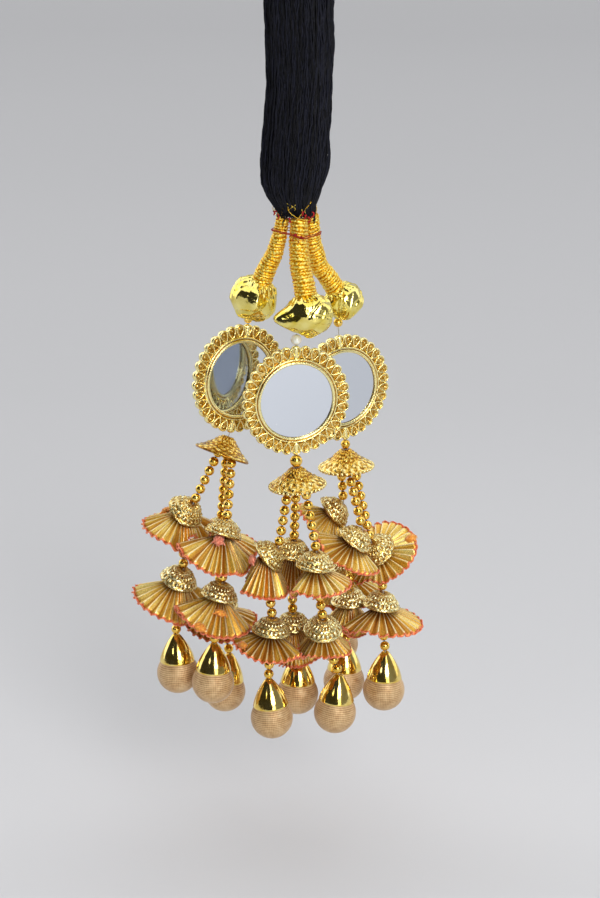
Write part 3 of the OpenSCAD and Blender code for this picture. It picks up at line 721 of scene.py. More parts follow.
def satinMaterial():
    # peach satin thread: fine lines along each turn and across it, with painted shade making it tan in the grooves
    # between turns and a painted highlight making it pale on the crowns
    look = Shader("peachThread", metal=0.35, rough=0.4, sheen=0.15, sheenRough=0.4)
    turn = look.value("turn")
    fine = look.sums("SINE", look.sums("MULTIPLY", turn, tau), 0)
    # crown follows the winding's own bumps: painted highlight on the crowns, painted shade in the grooves
    crown = look.sums("ABSOLUTE", look.sums("SINE", look.sums("MULTIPLY", turn, math.pi), 0), 0)
    tone = look.sums("ADD", look.spread(crown, 0, 1, 0, 0.6), look.spread(look.noise(2.4, 5), 0.3, 0.7, 0, 0.4))
    cross = look.sums("SINE", look.sums("MULTIPLY", look.value("around"), 72), 0)
    tone = look.sums("ADD", tone, look.sums("MULTIPLY", cross, 0.12))
    look.paint(look.colours(tone, [(0.1, (0.32, 0.14, 0.048)), (0.45, (0.6, 0.36, 0.152)),
                                   (0.95, (0.82, 0.6, 0.335))]))
    look.roughness(look.spread(look.noise(0.35, 2), 0.55, 0.75, 0.5, 0.22))
    lines = look.sums("MULTIPLY", look.sums("ADD", fine, cross), 0.3)
    look.bump(look.sums("ADD", lines, look.noise(0.3, 2)), 0.05)
    return look.material


def makeDrops():
    # for each side, three caps in one piece and three balls in another, each drop along its own direction
    cap, satin = dropCapPart(), satinMaterial()
    for i, side in enumerate(sides):
        group = range(3 * i, 3 * i + 3)
        axes = [axesAlong(dropWays[s]) for s in group]
        makePiece(f"polished_caps_{side}", copies(cap, dropTips[3 * i:3 * i + 3], axes), dropGold,
                  [f"drop_caps_{side}"])
        balls = [woundBall(s) for s in group]
        parts = [(placed(points, dropTips[s], a), faces)
                 for ((points, faces), _), s, a in zip(balls, group, axes)]
        numbers = {key: np.concatenate([values[k] for _, values in balls])
                   for k, key in enumerate(("turn", "around"))}
        makePiece(f"wound_balls_{side}", parts, satin, [f"drop_balls_{side}"], numbers)
    print("drops made")


makeDrops()

# Bell caps and flower caps

capLook = {
    "bell": [[0.13, 0], [0.26, 0.1], [0.42, 0.34], [0.62, 0.6], [0.84, 0.84], [1, 1]],
    "bellRadius": 11.4, "bellHeight": 7.5, "bellGrains": 36, "grainRadius": 0.72,
    "flower": [[0.14, 0], [0.34, 0.06], [0.6, 0.28], [0.8, 0.6], [0.93, 0.85], [1, 1]],
    "flowerRadius": 7.8, "flowerHeight": 6, "flowerGrains": 22, "grainRows": 6, "perGrain": 6,
    "relief": 0.66, "crumple": 0.24, "wall": 0.7, "bore": 0.62,
    "bellRows": 30, "scaleRows": 8, "scaleHigh": 0.36, "facetHigh": 0.6, "bellUneven": 0.15,
    "beltAt": 0.74, "beltWide": 0.17,
}


def capOutline(points, radius, height, rows):
    # the outline through its points, evenly stepped along its length
    curve = smoothPath(np.array(points) * [radius, -height], 12)
    along = lengthAlong(curve)
    return readAt(np.linspace(0, along[-1], rows), along, curve)


def capGrid(outline, relief, columns):
    # the outline turned round Z, raised by relief along its own normal, then back up inside
    slope = unit(np.gradient(outline, axis=0))
    normal = np.stack([-slope[:, 1], slope[:, 0]], axis=-1)
    outer = outline[:, None] + relief[..., None] * normal[:, None]
    inner = outline[::-3] - capLook["wall"] * normal[::-3]
    inner[:, 0] = np.maximum(inner[:, 0], capLook["bore"])
    edge = np.array([[capLook["bore"], 0]])
    inner = np.concatenate([inner, edge - [0, capLook["wall"]]])
    inner = np.broadcast_to(inner[:, None], (len(inner), columns, 2))
    both = np.concatenate([np.broadcast_to(edge[:, None], (1, columns, 2)), outer, inner])
    grid = aboutZ(both[..., 0], ringAngles(columns), both[..., 1])
    # high: the relief's share outside, and 0 at the bore and over the whole inside, which is painted dark as
    # painted shade
    high = np.concatenate([np.zeros((1, columns)), relief / relief.max(), np.zeros(inner.shape[:2])])
    return gridPart(grid[::-1]), high[::-1].ravel()


def grainRows(u, angle, count):
    # grains in staggered rows: (half a wave round the cap) x (half a wave from row to row)
    round_ = 0.5 + 0.5 * np.cos(count * angle + math.pi * np.floor(u))
    return round_ * np.sin(math.pi * (u % 1))


def crumpled(angle, u, seed):
    # slow waves that cross each other, about -1 to 1
    phase = np.random.default_rng(seed).uniform(0, tau, 4)
    return sum(np.sin(k * angle + m * u + p) for k, m, p in zip((3, -5, 9, -13), (4, 7, -9, 12), phase)) / 2.5


def flowerCap(seed):
    # ribs broken into grains by rows, of uneven height, over a crumpled surface; a lower cap (odd seed) is neater
    look, rough = capLook, 0.3 if seed % 2 else 1
    count = look["flowerGrains"]
    outline = capOutline(look["flower"], look["flowerRadius"], look["flowerHeight"], look["grainRows"] * 5 + 1)
    u = np.linspace(0, look["grainRows"] - 0.02, len(outline))[:, None]
    angle = ringAngles(count * look["perGrain"])
    uneven = crumpled(angle, u, seed)
    rib = 0.5 + 0.5 * np.cos(count * (angle + 0.02 * rough * uneven))
    grains = 0.35 * rib + 0.65 * grainRows(u + 0.2 * rough * uneven, angle, count)
    grains = np.clip(grains * (0.8 + 0.35 * rough * crumpled(2 * angle, u, seed + 1)), 0, 1)
    relief = grains * look["relief"] + look["crumple"] * rough * uneven * u / look["grainRows"]
    return capGrid(outline, relief * np.clip(u, 0.2, 1), len(angle))


def bellCap(grained):
    # scales over the upper part, a belt of crossed facets below, and grains round the rim
    look, rows = capLook, capLook["bellRows"]
    columns = look["bellGrains"] * 4
    outline = capOutline(look["bell"], look["bellRadius"], look["bellHeight"], rows)
    u = np.linspace(0, 1, rows)[:, None]
    angle = ringAngles(columns)
    uneven = crumpled(angle, 4 * u, 3)
    scales = grainRows(u * look["scaleRows"], angle, look["bellGrains"] / 2) * (0.7 + 0.3 * uneven)
    belt = np.exp(-((u - look["beltAt"]) / look["beltWide"])**2) * grained
    facets = np.abs(np.sin(9 * angle + 5 * u)) * np.abs(np.sin(9 * angle - 7 * u + 1))
    relief = (look["scaleHigh"] * scales * (1 - belt) + look["facetHigh"] * facets * belt
              + look["bellUneven"] * uneven * u)
    part, high = capGrid(outline, relief, columns)
    parts, values = [part], [high]
    if grained:
        grain = ballPart(look["grainRadius"], 7, 10)
        edge = look["bellRadius"] - look["grainRadius"] / 2
        at = aboutZ(edge, ringAngles(look["bellGrains"]), -look["bellHeight"])
        parts += copies(grain, at, [np.eye(3)] * len(at))
        values.append(np.ones(len(at) * len(grain[0])))
    return parts, np.concatenate(values)


def makeCaps():
    # one bell to a side, then the two flower caps of each string in one piece
    for side, (apex, lean, lifted, _) in bellRows.items():
        parts, high = bellCap(side != "left")
        parts = moved(parts, apex, leaningAxes(lean, lifted))
        makePiece(f"bell_{side}", parts, bellGold, [f"bell_cap_{side}"], {"high": high})
    for s, name in enumerate(stringNames):
        parts, high = [], []
        for f in (2 * s, 2 * s + 1):
            part, value = flowerCap(f)
            parts += moved([part], tips[f], leaningAxes(flowerRows[f][1], flowerRows[f][2]))
            high.append(value)
        makePiece(f"grained_caps_{name}", parts, capGold, [f"flower_caps_{name}"],
                  {"high": np.concatenate(high)})
    print("caps made")


makeCaps()

# Ribbon skirts

ribbonLook = {"pleats": 28, "perPleat": 6, "rows": 10, "depth": 0.85, "innerDepth": 0.5, "wall": 0.16,
              "fold": [-1, -0.55, -0.1, 0.35, 0.75, 1], "scallop": 1,
              "bow": 7, "sway": 2, "uneven": 0.25, "evened": 3, "edgeRadius": 0.28, "edgeWave": 0.22,
              "edgeDrift": 0.12, "edgeLoops": 2.2, "turnIn": 1}


def skirtSurface(f):
    # a strip in knife pleats, each a slanted panel and a steep step: middle line + normal x fold,
    # bowed near the cap, with a hem that bulges at each pleat
    look = ribbonLook
    columns = look["pleats"] * look["perPleat"]
    angle = np.arange(columns) * 360 / columns
    spread, long = skirtShape(f, angle)
    spread, long = roundMean(spread, look["evened"]), roundMean(long, look["evened"])
    random = np.random.default_rng(40 + f)
    phase = random.uniform(0, tau, 4)
    a = np.radians(angle)
    sway = 0.5 * np.sin(3 * a + phase[0]) + 0.5 * np.sin(7 * a + phase[1])
    v = np.linspace(0, 1, look["rows"])
    zigzag = np.tile(look["fold"], look["pleats"])
    bulge = look["scallop"] * np.sin(math.pi * (np.arange(columns) % look["perPleat"] + 0.5) / look["perPleat"])
    point, lines, normals = hubs[f] + gatherRing(f, angle), [], []
    step = (long + bulge - look["scallop"] / 2) / (look["rows"] - 1)
    for k, share in enumerate(v):
        tilt = spread + look["bow"] * (0.5 - share) + look["sway"] * sway * share
        way = ribbonWay(f, angle, tilt)
        if k:
            point = point + way * step[:, None]
        lines.append(point)
        normals.append(ribbonWay(f, angle, tilt + 90))
    middle, normal = np.array(lines), np.array(normals)
    depth = look["innerDepth"] + (look["depth"] - look["innerDepth"]) * np.sqrt(v)
    uneven = 1 + look["uneven"] * np.sin(5 * a + phase[2]) * np.sin(2 * a + phase[3])
    return middle, normal, depth[:, None] * zigzag * uneven, v, zigzag


def skirtParts(f):
    # two faces, each half a wall off the folded surface: middle + normal x (fold +- half). The strip is the mean
    # way round the outer face's rows, and its width the mean straight line from gather to hem
    middle, normal, fold, v, zigzag = skirtSurface(f)
    half = ribbonLook["wall"] / 2
    outer = middle + normal * (fold + half)[..., None]
    inner = middle + normal * (fold - half)[..., None]
    grid = np.concatenate([inner, outer[::-1]])
    # share and crest drive painted light: painted shade near the gather and in each valley, and a painted
    # highlight on each crest
    share = np.broadcast_to(v[:, None], fold.shape)
    crest = np.broadcast_to(0.5 + 0.5 * zigzag, fold.shape)
    random = np.random.default_rng(80 + f)
    tint = np.repeat(random.random(ribbonLook["pleats"]) + random.uniform(-0.3, 0.3), ribbonLook["perPleat"])
    tint = np.broadcast_to(tint, fold.shape)
    around = np.broadcast_to(np.arange(fold.shape[1]) + 200.0 * f, fold.shape)
    values = {key: np.concatenate([value, value[::-1]]).ravel()
              for key, value in (("share", share), ("crest", crest), ("tint", tint), ("around", around))}
    strip = np.linalg.norm(np.roll(outer, 1, axis=1) - outer, axis=-1).sum(axis=1).mean()
    length = np.linalg.norm(middle[-1] - middle[0], axis=-1).mean()
    hem = middle[-1] + normal[-1] * fold[-1][:, None]
    return gridPart(grid), values, (strip, length), hem, middle, normal


def edgeTube(hem, normal, seed):
    # a thin thread that follows the hem, looping up and down between the pleats
    look, count = ribbonLook, len(hem)
    fine, whole = np.arange(2 * count) / 2, np.arange(count + 1)
    path, up = (readAt(fine, whole, np.concatenate([ring, ring[:1]])) for ring in (hem, normal))
    wave = (np.sin(fine * look["edgeLoops"] + seed) * look["edgeWave"]
            + np.sin(fine * 0.7 + seed) * look["edgeDrift"])
    path = path + up * wave[:, None]
    way = ringWay(path)
    across = unit(np.cross(way, up))
    radius = look["edgeRadius"] * (1 + 0.3 * np.sin(fine * 1.3 + 2 * seed))[:, None, None]
    return gridPart(path[:, None] + radius * crossRing(ringAngles(4), across, np.cross(way, across)))


# small crumpled tufts of orange or salmon ribbon: skirt, then angle and share of the way to the hem, how far
# it stands off, half widths along the hem, across it and outward, and 0 for orange or 1 for salmon
knotRows = [
    (0, 139, 0.44, 1, 2.6, 2, 1.6, 0),
    (2, 262, 0.12, 2.6, 2, 2.3, 1.4, 1),
    (3, 292, 0.3, 0.9, 2.4, 1.5, 1.1, 0),
    (3, 252, 0.92, 0.7, 2.6, 1.8, 1.2, 0),
    (6, 200, 0.16, 2.4, 1.9, 1.8, 1.3, 1),
    (7, 213, 0.8, 0.7, 2.4, 1.6, 1.1, 0),
    (13, 273, 0.92, 0.6, 2.2, 1.6, 1.1, 0),
    (16, 8, 0.89, 0.7, 1.7, 2.4, 1.1, 0),
]


knotLook = {"rings": 16, "columns": 26, "fold": 0.2, "fineFold": 0.12, "end": 0.32, "endColumns": 6, "endSteps": 7}


def knotParts(f, middle, normal):
    # a ball stretched to its half widths, its surface folded by crossing waves, with two loose ends
    look, parts, tints = knotLook, [], []
    rows, columns = middle.shape[:2]
    t = np.linspace(0, 1, look["endSteps"])
    for k, (skirt, turn, share, off, wide, long, out, tint) in enumerate(knotRows):
        if skirt != f:
            continue
        i, j = round(share * (rows - 1)), round(turn / 360 * columns) % columns
        away = unit(normal[i, j])
        down = unit(middle[-1, j] - middle[0, j])
        axes = np.array([np.cross(down, away), down, away])
        at = middle[i, j] + away * off
        points, faces = ballPart(1, look["rings"], look["columns"])
        folds = (look["fold"] * np.sin(points @ [7, 3, 5] + k) * np.sin(points @ [-4, 8, 3])
                 + look["fineFold"] * np.sin(points @ [13, -9, 6]))
        tuft = [(placed(points * (1 + folds)[:, None] * [wide, long, out], at, axes), faces)]
        for side in (-1, 1):
            end = np.stack([side * wide * (0.5 + 0.9 * t), 0.7 * long * t, 0.3 * out * np.sin(5 * t)], axis=-1)
            tuft.append(capped(placed(tubeGrid(end, look["end"], look["endColumns"]), at, axes)))
        parts += tuft
        tints.append(np.full(pointCount(tuft), tint))
    return parts, tints


def knotMaterial():
    # orange or salmon ribbon by the attribute "tint", dark in its folds and sparkling a little
    look = Shader("knotRibbon", metal=0.2, rough=0.4, sheen=0.3)
    shade = look.noise(0.7, 3)
    orange = look.colours(shade, [(0.35, (0.9, 0.22, 0.015)), (0.65, (1, 0.48, 0.06))])
    salmon = look.colours(shade, [(0.35, (0.8, 0.16, 0.08)), (0.65, (1, 0.42, 0.26))])
    look.paint(look.mixed(look.value("tint"), orange, salmon))
    look.bump(look.noise(0.4, 3), 0.12)
    return look.material


def ribbonMaterial():
    # metallic ribbon: a painted highlight as a pale line along each fold, painted shade dark brown in each valley
    # behind the step, panels of uneven tone streaked outward, and painted shade making it brown near the gather
    look = Shader("goldRibbon", metal=0.55, rough=0.28)
    share, crest = look.value("share"), look.value("crest")
    weave = look.noise(0.28, 2)
    across = look.sums("MULTIPLY", look.value("around"), 0.55)
    streaks = look.add("CombineXYZ", {"X": across, "Y": share}).outputs[0]
    streak = look.sums("ADD", look.spread(look.noise(1000, 3, streaks), 0.3, 0.7, -0.22, 0.22),
                       look.spread(look.value("tint"), 0, 1, -0.22, 0.22))
    # painted shade: darker towards the gather, under the cap
    tone = look.sums("ADD", look.sums("ADD", 0.38, streak), look.spread(share, 0, 0.6, -0.08, 0.1))
    panel = look.colours(tone, [(0.05, (0.28, 0.085, 0.005)), (0.3, (0.56, 0.24, 0.02)),
                                (0.52, (0.77, 0.44, 0.05)), (0.8, (0.93, 0.73, 0.22))])
    # painted shade in each fold's valley, just behind its step
    panel = look.mixed(look.spread(crest, 0.2, 0, 0, 0.6), panel, (0.42, 0.15, 0.02))
    # painted highlight: a pale line along each crest
    line = look.spread(crest, 0.82, 1, 0, 0.95)
    gold = look.mixed(line, panel, (1, 0.9, 0.52))
    hem = look.spread(look.ragged(share, 0.9, 3, 0.03), 0.93, 0.97)
    look.paint(look.mixed(hem, gold, (0.9, 0.2, 0.07)))
    look.roughness(look.spread(weave, 0.3, 0.7, 0.16, 0.42))
    look.bump(look.sums("ADD", weave, look.noise(0.8, 3)), 0.07)
    return look.material


def makeSkirts():
    # each skirt is one strip of ribbon, pleated and drawn in at its upper edge
    ribbon = ribbonMaterial()
    # coral stitching, paler where it is worn
    coral = twoTone("coralThread", 1.1, (0.82, 0.12, 0.04), (1, 0.38, 0.17), 0.7, (0.25, 2, 0.1),
                    rough=0.6, sheen=0.3)
    knot = knotMaterial()
    for f in range(len(flowerRows)):
        name = f"{stringNames[f // 2]}_{'lower' if f % 2 else 'upper'}"
        node = f"skirts_{stringNames[f // 2]}"
        part, values, (strip, width), hem, middle, normal = skirtParts(f)
        piece = makePiece(f"pleated_ribbon_{name}", [part], ribbon, [node], values)
        edge = makePiece(f"ribbon_edge_{name}", [edgeTube(hem, normal[-1], f)], coral, [node])
        extras, (tufts, tints) = [edge], knotParts(f, middle, normal)
        if tufts:
            extras.append(makePiece(f"ribbon_knot_{name}", tufts, knot, [node],
                                    {"tint": np.concatenate(tints)}))
    print("skirts made")


makeSkirts()

# Mirror frames

frameLook = {
    "mirror": 14.8, "bezelHalf": 1.7, "bandHalf": 0.9, "lobes": 32, "lobeRadius": 2.2, "lobeAt": 20,
    # seatHigh paints the gap where the mirror sits darkest, a painted shadow
    "columns": 256, "bandRows": 5, "sunk": 0.35, "seat": 0.92, "seatDeep": 0.7, "seatHigh": -0.6,
    # radius beyond the mirror, depth below the bezel's face, and how bright it is painted: the belt sunk between
    # its rings is dull, painted shade
    "bezel": [(0, 0.5, 0.9), (0.12, 0.2, 0.9), (0.4, 0, 0.9), (0.8, 0, 0.9), (1.1, 0.2, 0.9), (1.25, 0.6, 0.1),
              (1.4, 0.68, 0.1), (1.55, 0.5, 0.1), (1.8, 0.3, 0.9), (2.1, 0.4, 0.9), (2.3, 0.8, 0.9)],
    # groundHigh paints the sunk ground dark, painted shade
    "ground": 2.45, "groundHigh": 0.2, "groundEnd": 0.75,
    # what each row of the rim keeps off the lobes' outline, and its depth below the band's face; rimHigh paints
    # the raised rim bright, a painted highlight
    "rim": [(0.6, 0.05), (0.25, 0), (0.02, 0.25)], "rimHigh": 0.85,
    "loopAt": 19.5, "loopLong": 2.3, "loopWide": 2.05, "loopLift": 0.75, "loopSteps": 20,
    "wire": 0.3, "rise": 0.42, "wireSides": 5, "dotAt": 20.35, "dotLift": 0.65, "dot": 0.42,
    "tube": 1.15, "tubeFrom": 16.9, "tubeTo": 22.0, "tubeColumns": 14,
}


def teardrop():
    # a loop with its point inward: (-long cos t, wide sin t sin(t / 2)), and a section of radius wire by rise
    look = frameLook
    t, b = ringAngles(look["loopSteps"]), ringAngles(look["wireSides"])
    line = np.stack([-look["loopLong"] * np.cos(t), look["loopWide"] * np.sin(t) * np.sin(t / 2), 0 * t], axis=-1)
    up = np.array([0, 0, 1.0])
    beside = np.cross(ringWay(line), up)
    ring = (look["wire"] * np.cos(b)[None, :, None] * beside[:, None]
            - look["rise"] * np.sin(b)[None, :, None] * up)
    return gridPart(line[:, None] + ring)


def frameBody():
    # the section carried round: double bezel, then a sunk ground out to a narrow raised rim that follows the
    # lobes; each row carries how bright it is painted, with painted shade where it is sunk and at the mirror's
    # seat, and a painted highlight where it is raised
    look = frameLook
    m, h, b, columns = look["mirror"], look["bezelHalf"], look["bandHalf"], look["columns"]
    angle = ringAngles(columns)
    off = ((angle * look["lobes"] / tau + 0.5) % 1 - 0.5) * tau / look["lobes"]
    edge = look["lobeAt"] * np.cos(off) + np.sqrt(np.maximum(
        look["lobeRadius"]**2 - (look["lobeAt"] * np.sin(off))**2, 0.2))
    seat, low, ground = look["seat"], b - look["sunk"], look["ground"]
    bezel = [(0, seat, look["seatHigh"])] + [(r, h - deep, bright) for r, deep, bright in look["bezel"]]
    bezel.append((ground, low, 0))
    rows = [np.array([[m + r, z]] * columns) for r, z, _ in bezel]
    # shine: how bright each row is painted, painted shade where it is sunk and a painted highlight where it is
    # raised
    shine = [np.full(columns, float(bright)) for _, _, bright in bezel]
    for share in np.linspace(0.15, 1, look["bandRows"]):
        r = m + ground + (edge - look["groundEnd"] - m - ground) * share
        rows.append(np.stack([r, np.full(columns, low)], axis=-1))
        shine.append(np.full(columns, look["groundHigh"]))
    for back, down in look["rim"]:
        rows.append(np.stack([edge - back, np.full(columns, b - down)], axis=-1))
        shine.append(np.full(columns, look["rimHigh"]))
    seatRow = np.array([[m + look["seatDeep"], seat]] * columns)
    section = np.array(rows + [row * [1, -1] for row in rows[::-1]] + [seatRow * [1, -1], seatRow])
    high = np.array(shine + shine[::-1] + [shine[0]] * 2)
    grid = aboutZ(section[..., 0], angle, section[..., 1])
    return gridPart(grid[::-1]), high[::-1].ravel()


def frameRelief():
    # on each face: a loop in each lobe whose point meets the bezel, so the loops' sides make a row of Vs, and
    # a small bead in each loop
    look, parts = frameLook, []
    loop, dot = teardrop(), ballPart(look["dot"], 5, 8)
    around = ringAngles(look["lobes"])
    c, s, none = np.cos(around), np.sin(around), 0 * around
    axes = np.array([[c, s, none], [-s, c, none], [none, none, none + 1]]).transpose(2, 0, 1)
    for face in (-1, 1):
        for part, at, z in ((loop, look["loopAt"], look["loopLift"]), (dot, look["dotAt"], look["dotLift"])):
            parts += copies(part, aboutZ(at, around, face * z), axes)
    return parts


def frameTubes():
    # a short tube at top and bottom, where the thread enters
    look, parts = frameLook, []
    for sign in (-1, 1):
        z = np.linspace(look["tubeFrom"], look["tubeTo"], 5) * sign
        path = np.stack([0 * z, z, 0 * z], axis=-1)
        parts.append(capped(tubeGrid(path, look["tube"], look["tubeColumns"])))
    return parts


def makeFrames():
    # body, relief and tubes as one casting, set at each frame's place and turn
    bodyPart, bodyHigh = frameBody()
    raised = frameRelief() + frameTubes()
    # the relief loops, dots and tubes are painted at the bright end, a painted highlight
    high = np.concatenate([bodyHigh, np.ones(pointCount(raised))])
    for side, (middle, _, _) in frameRows.items():
        parts = moved([bodyPart] + raised, middle, frameAxes(side))
        makePiece(f"cast_frame_{side}", parts, frameGold, [f"frame_{side}"], {"high": high})
    print("frames made")


def mirrorMaterial():
    # silvered glass: cool, nearly perfect, with a few specks
    look = Shader("mirrorGlass", metal=1, rough=0.03)
    speck = look.spread(look.cells(6), 0.02, 0.05)
    look.paint(look.mixed(speck, (0.9, 0.9, 0.93), (0.66, 0.695, 0.75)))
    look.roughness(look.spread(look.noise(7, 4), 0.35, 0.75, 0.015, 0.09))
    return look.material


makeFrames()
mirrorGlass = mirrorMaterial()
for side in sides:
    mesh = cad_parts[f"mirror_{side}"].data
    mesh.materials.clear()
    mesh.materials.append(mirrorGlass)

# Stems wound with gold thread, foil balls, and the red tie

stemRows = {
    "left": [(-6.6, 0, -97), (-8, 0.2, -104.4), (-10.1, 1.5, -112), 2.4, 4],
    "centre": [(-0.4, -2, -97), (-0.6, -3, -106.2), (0, -5, -115.4), 3.3, 4.3],
    "right": [(4.2, 4.8, -97), (5, 8, -108.4), (7.6, 12, -119), 3, 3.9],
}
ballRows = {  # middle, radius, direction of the nub, height of the nub, seed of the creases
    "left": [(-18.2, 5.6, -130.2), 9.3, (0.1, -1, -0.1), 1.2, 3],
    "centre": [(3.9, -8, -133.6), 8.8, (-1, -0.25, -0.22), 5.2, 8],
    "right": [(17.4, 17.6, -134.2), 7.6, (-0.9, -0.6, -0.1), 1.6, 5],
}
stemLook = {"pitch": 1.35, "ridge": 0.36, "strand": 0.26, "strands": 15, "columns": 52, "rowsPerTurn": 7,
            "seat": 0.8, "into": 0.3, "tilt": 0.45, "lapShift": 5.5, "slant": 3.4, "lump": 0.6}


def stemPath(side):
    # the bends of the stem, ending on the ball's flat
    first, second, third = (np.array(p, float) for p in stemRows[side][:3])
    middle, radius = np.array(ballRows[side][0]), ballRows[side][1]
    end = middle + unit(third - middle) * (radius * stemLook["seat"] + stemLook["into"])
    points = [first, (first + second) / 2, second, (second + third) / 2, third,
              (third + end) / 2 + [0, 0, 0.5], end]
    return smoothPath(points, 16)


def stemGrid(side, seed):
    # radius + ridge x |cos| of the turns, slanted by the winding, + small slanted strands
    look, curve = stemLook, stemPath(side)
    along = lengthAlong(curve)
    rows = int(along[-1] / look["pitch"] * look["rowsPerTurn"])
    at = np.linspace(0, along[-1], rows)
    path = readAt(at, along, curve)
    low, high = stemRows[side][3:]
    radius = low + (high - low) * np.clip(at / along[-1], 0, 1)
    phase = np.random.default_rng(seed).uniform(0, tau, 5)
    s, a = at[:, None], ringAngles(look["columns"])[None, :]
    wander = 0.22 * np.sin(0.9 * s + a + phase[0]) + 0.16 * np.sin(2.1 * s - 2 * a + phase[1])
    turn = (s + wander + look["tilt"] * np.sin(a + phase[0])) / look["pitch"]
    ridge = np.abs(np.cos(math.pi * turn))**0.6
    lap = np.floor(turn + 0.5)
    slant = np.where(lap % 2 == 0, 1, -1) * look["slant"] * (turn + 0.5 - lap)
    strand = 0.5 + 0.5 * np.sin(look["strands"] * a + look["lapShift"] * lap + slant + phase[2])
    lumps = 0.18 * np.sin(2.7 * s + 3 * a + phase[3]) * np.sin(1.1 * s + phase[4])
    rise = look["ridge"] * (ridge - 1) + look["strand"] * strand * ridge + lumps * look["lump"]
    base = tubeGrid(path, 1, look["columns"]) - path[:, None]
    grid = path[:, None] + base * (radius[:, None] + rise)[..., None]
    # tone, kept as "high": painted shade in the grooves between turns and a painted highlight on the strands'
    # crests
    tone = np.clip(0.15 + 0.55 * ridge + 0.4 * strand * ridge, 0, 1)
    points, faces = capped(grid)
    return (points, faces), np.concatenate([tone.ravel(), tone[0, :1], tone[-1, :1]])


def zariMaterial():
    # metal thread: bright strands over an orange-brown ground, read from "high": a painted highlight on the
    # strands' crests and painted shade, dark brown, in the grooves between turns
    look = Shader("zariThread", metal=0.92, rough=0.33)
    tone = look.ragged(look.value("high"), 0.8, 4, 0.3)
    look.paint(look.colours(tone, [(0.15, (0.22, 0.055, 0.002)), (0.42, (0.7, 0.28, 0.004)),
                                   (0.68, (0.98, 0.54, 0.016)), (0.93, (1, 0.84, 0.2))]))
    look.roughness(look.spread(look.noise(0.4, 2), 0.3, 0.7, 0.22, 0.5))
    look.bump(look.noise(0.28, 3), 0.16)
    return look.material


zari = zariMaterial()


def makeStems():
    # one wound stem to a side, each with waves of its own
    for k, side in enumerate(sides):
        part, high = stemGrid(side, 20 + k)
        makePiece(f"wound_stem_{side}", [part], zari, [f"stem_{side}"], {"high": high})
    print("stems made")


makeStems()

foilLook = {"rows": 84, "columns": 112, "facets": 40, "facetCap": 1.13, "core": 0.32, "facetShare": 0.68,
            "gathers": 13, "gatherDepth": 0.1, "creases": 9, "crease": 0.05, "nubCap": 0.94, "stemFlat": 0.88}


def foilBall(side):
    # a many-sided form from random planes, softened, with folds that gather towards the stem
    look = foilLook
    middle, radius, nub, nubHeight, seed = ballRows[side]
    middle, nub = np.array(middle), unit(nub)
    random = np.random.default_rng(seed)
    axes = axesAlong(np.array(stemRows[side][2]) - middle)
    polar = np.linspace(0.06, math.pi - 0.04, look["rows"])[:, None]
    angle = ringAngles(look["columns"])
    way = aboutZ(np.sin(polar), angle, np.cos(polar)) @ axes
    planes = unit(random.normal(size=(look["facets"], 3)))
    depth = random.uniform(0.96, 1.04, look["facets"])
    slant = np.maximum(way @ planes.T, 0.05)
    flat = np.minimum((depth / slant).min(axis=-1), look["facetCap"])
    r = look["core"] + look["facetShare"] * flat
    folds = np.abs(np.sin(look["gathers"] / 2 * angle + 0.8 * np.sin(3 * polar + seed)))
    near = np.exp(-(polar / 0.85)**2)
    r = r - look["gatherDepth"] * near * (1 - folds) - 0.04 * near
    for _ in range(look["creases"]):
        wave, shift = unit(random.normal(size=3)) * random.uniform(2.5, 7), random.uniform(0, tau)
        bend = 0.5 * np.sin(way @ (unit(random.normal(size=3)) * 4) + shift)
        mask = np.clip((way @ unit(random.normal(size=3))) * 2.2 - 0.3, 0, 1)
        r = r - look["crease"] * mask * (1 - np.abs(np.sin(way @ wave + bend + shift)))**5
    r = radius * r + nubHeight * np.minimum(1.1 * np.maximum(0, way @ nub)**10, look["nubCap"])
    stemWay = unit(np.array(stemRows[side][2]) - middle)
    neckWay = unit(np.array(neckRows[side][0]) - middle)
    neckDepth = np.linalg.norm(np.array(neckRows[side][0]) - middle) - neckRows[side][1] - 0.15
    for toward, limit in ((stemWay, radius * look["stemFlat"]), (neckWay, neckDepth)):
        facing = way @ toward
        r = np.where(facing > 0.4, np.minimum(r, limit / np.maximum(facing, 0.4)), r)
    return capped((middle + way * r[..., None])[::-1])


def foilMaterial():
    # lemon-gold foil: mirror bright with fine wrinkles
    look = Shader("goldFoil", metal=1, rough=0.06)
    look.paint(look.colours(look.noise(5, 3), [(0.3, (0.78, 0.6, 0.07)), (0.7, (0.95, 0.84, 0.3))]))
    look.roughness(look.spread(look.noise(2, 4), 0.35, 0.7, 0.04, 0.16))
    wrinkle = look.sums("ADD", look.cells(6, "SMOOTH_F1"), look.spread(look.noise(5, 4), 0, 1, 0, 0.8))
    look.bump(wrinkle, 0.55)
    return look.material


def makeFoilBalls():
    # one ball to a side, all of one foil
    foil = foilMaterial()
    for side in sides:
        makePiece(f"crumpled_ball_{side}", [foilBall(side)], foil, [f"foil_ball_{side}"])
    print("foil balls made")


makeFoilBalls()

tieLook = {
    "z": -103.4, "stand": 0.14, "along": 0.4, "turns": 2, "pitch": 0.5, "thread": 0.17, "slope": 0.13,
    "steps": 110, "sides": 6, "wave": 0.3, "over": 0.2,
    # each knot's angle and size, then each end's side and how far it falls
    "knots": [(252, 0.62), (287, 0.5)], "ends": [(-1, 2.4), (1, 1.6)], "endOut": 1.1, "endThread": 0.8,
}


def stemMiddle(side, z):
    # the stem's middle at height z, on the straight line through its first two bends
    a, b = np.array(stemRows[side][0], float), np.array(stemRows[side][1], float)
    return a + (b - a) * (z - a[2]) / (b[2] - a[2])


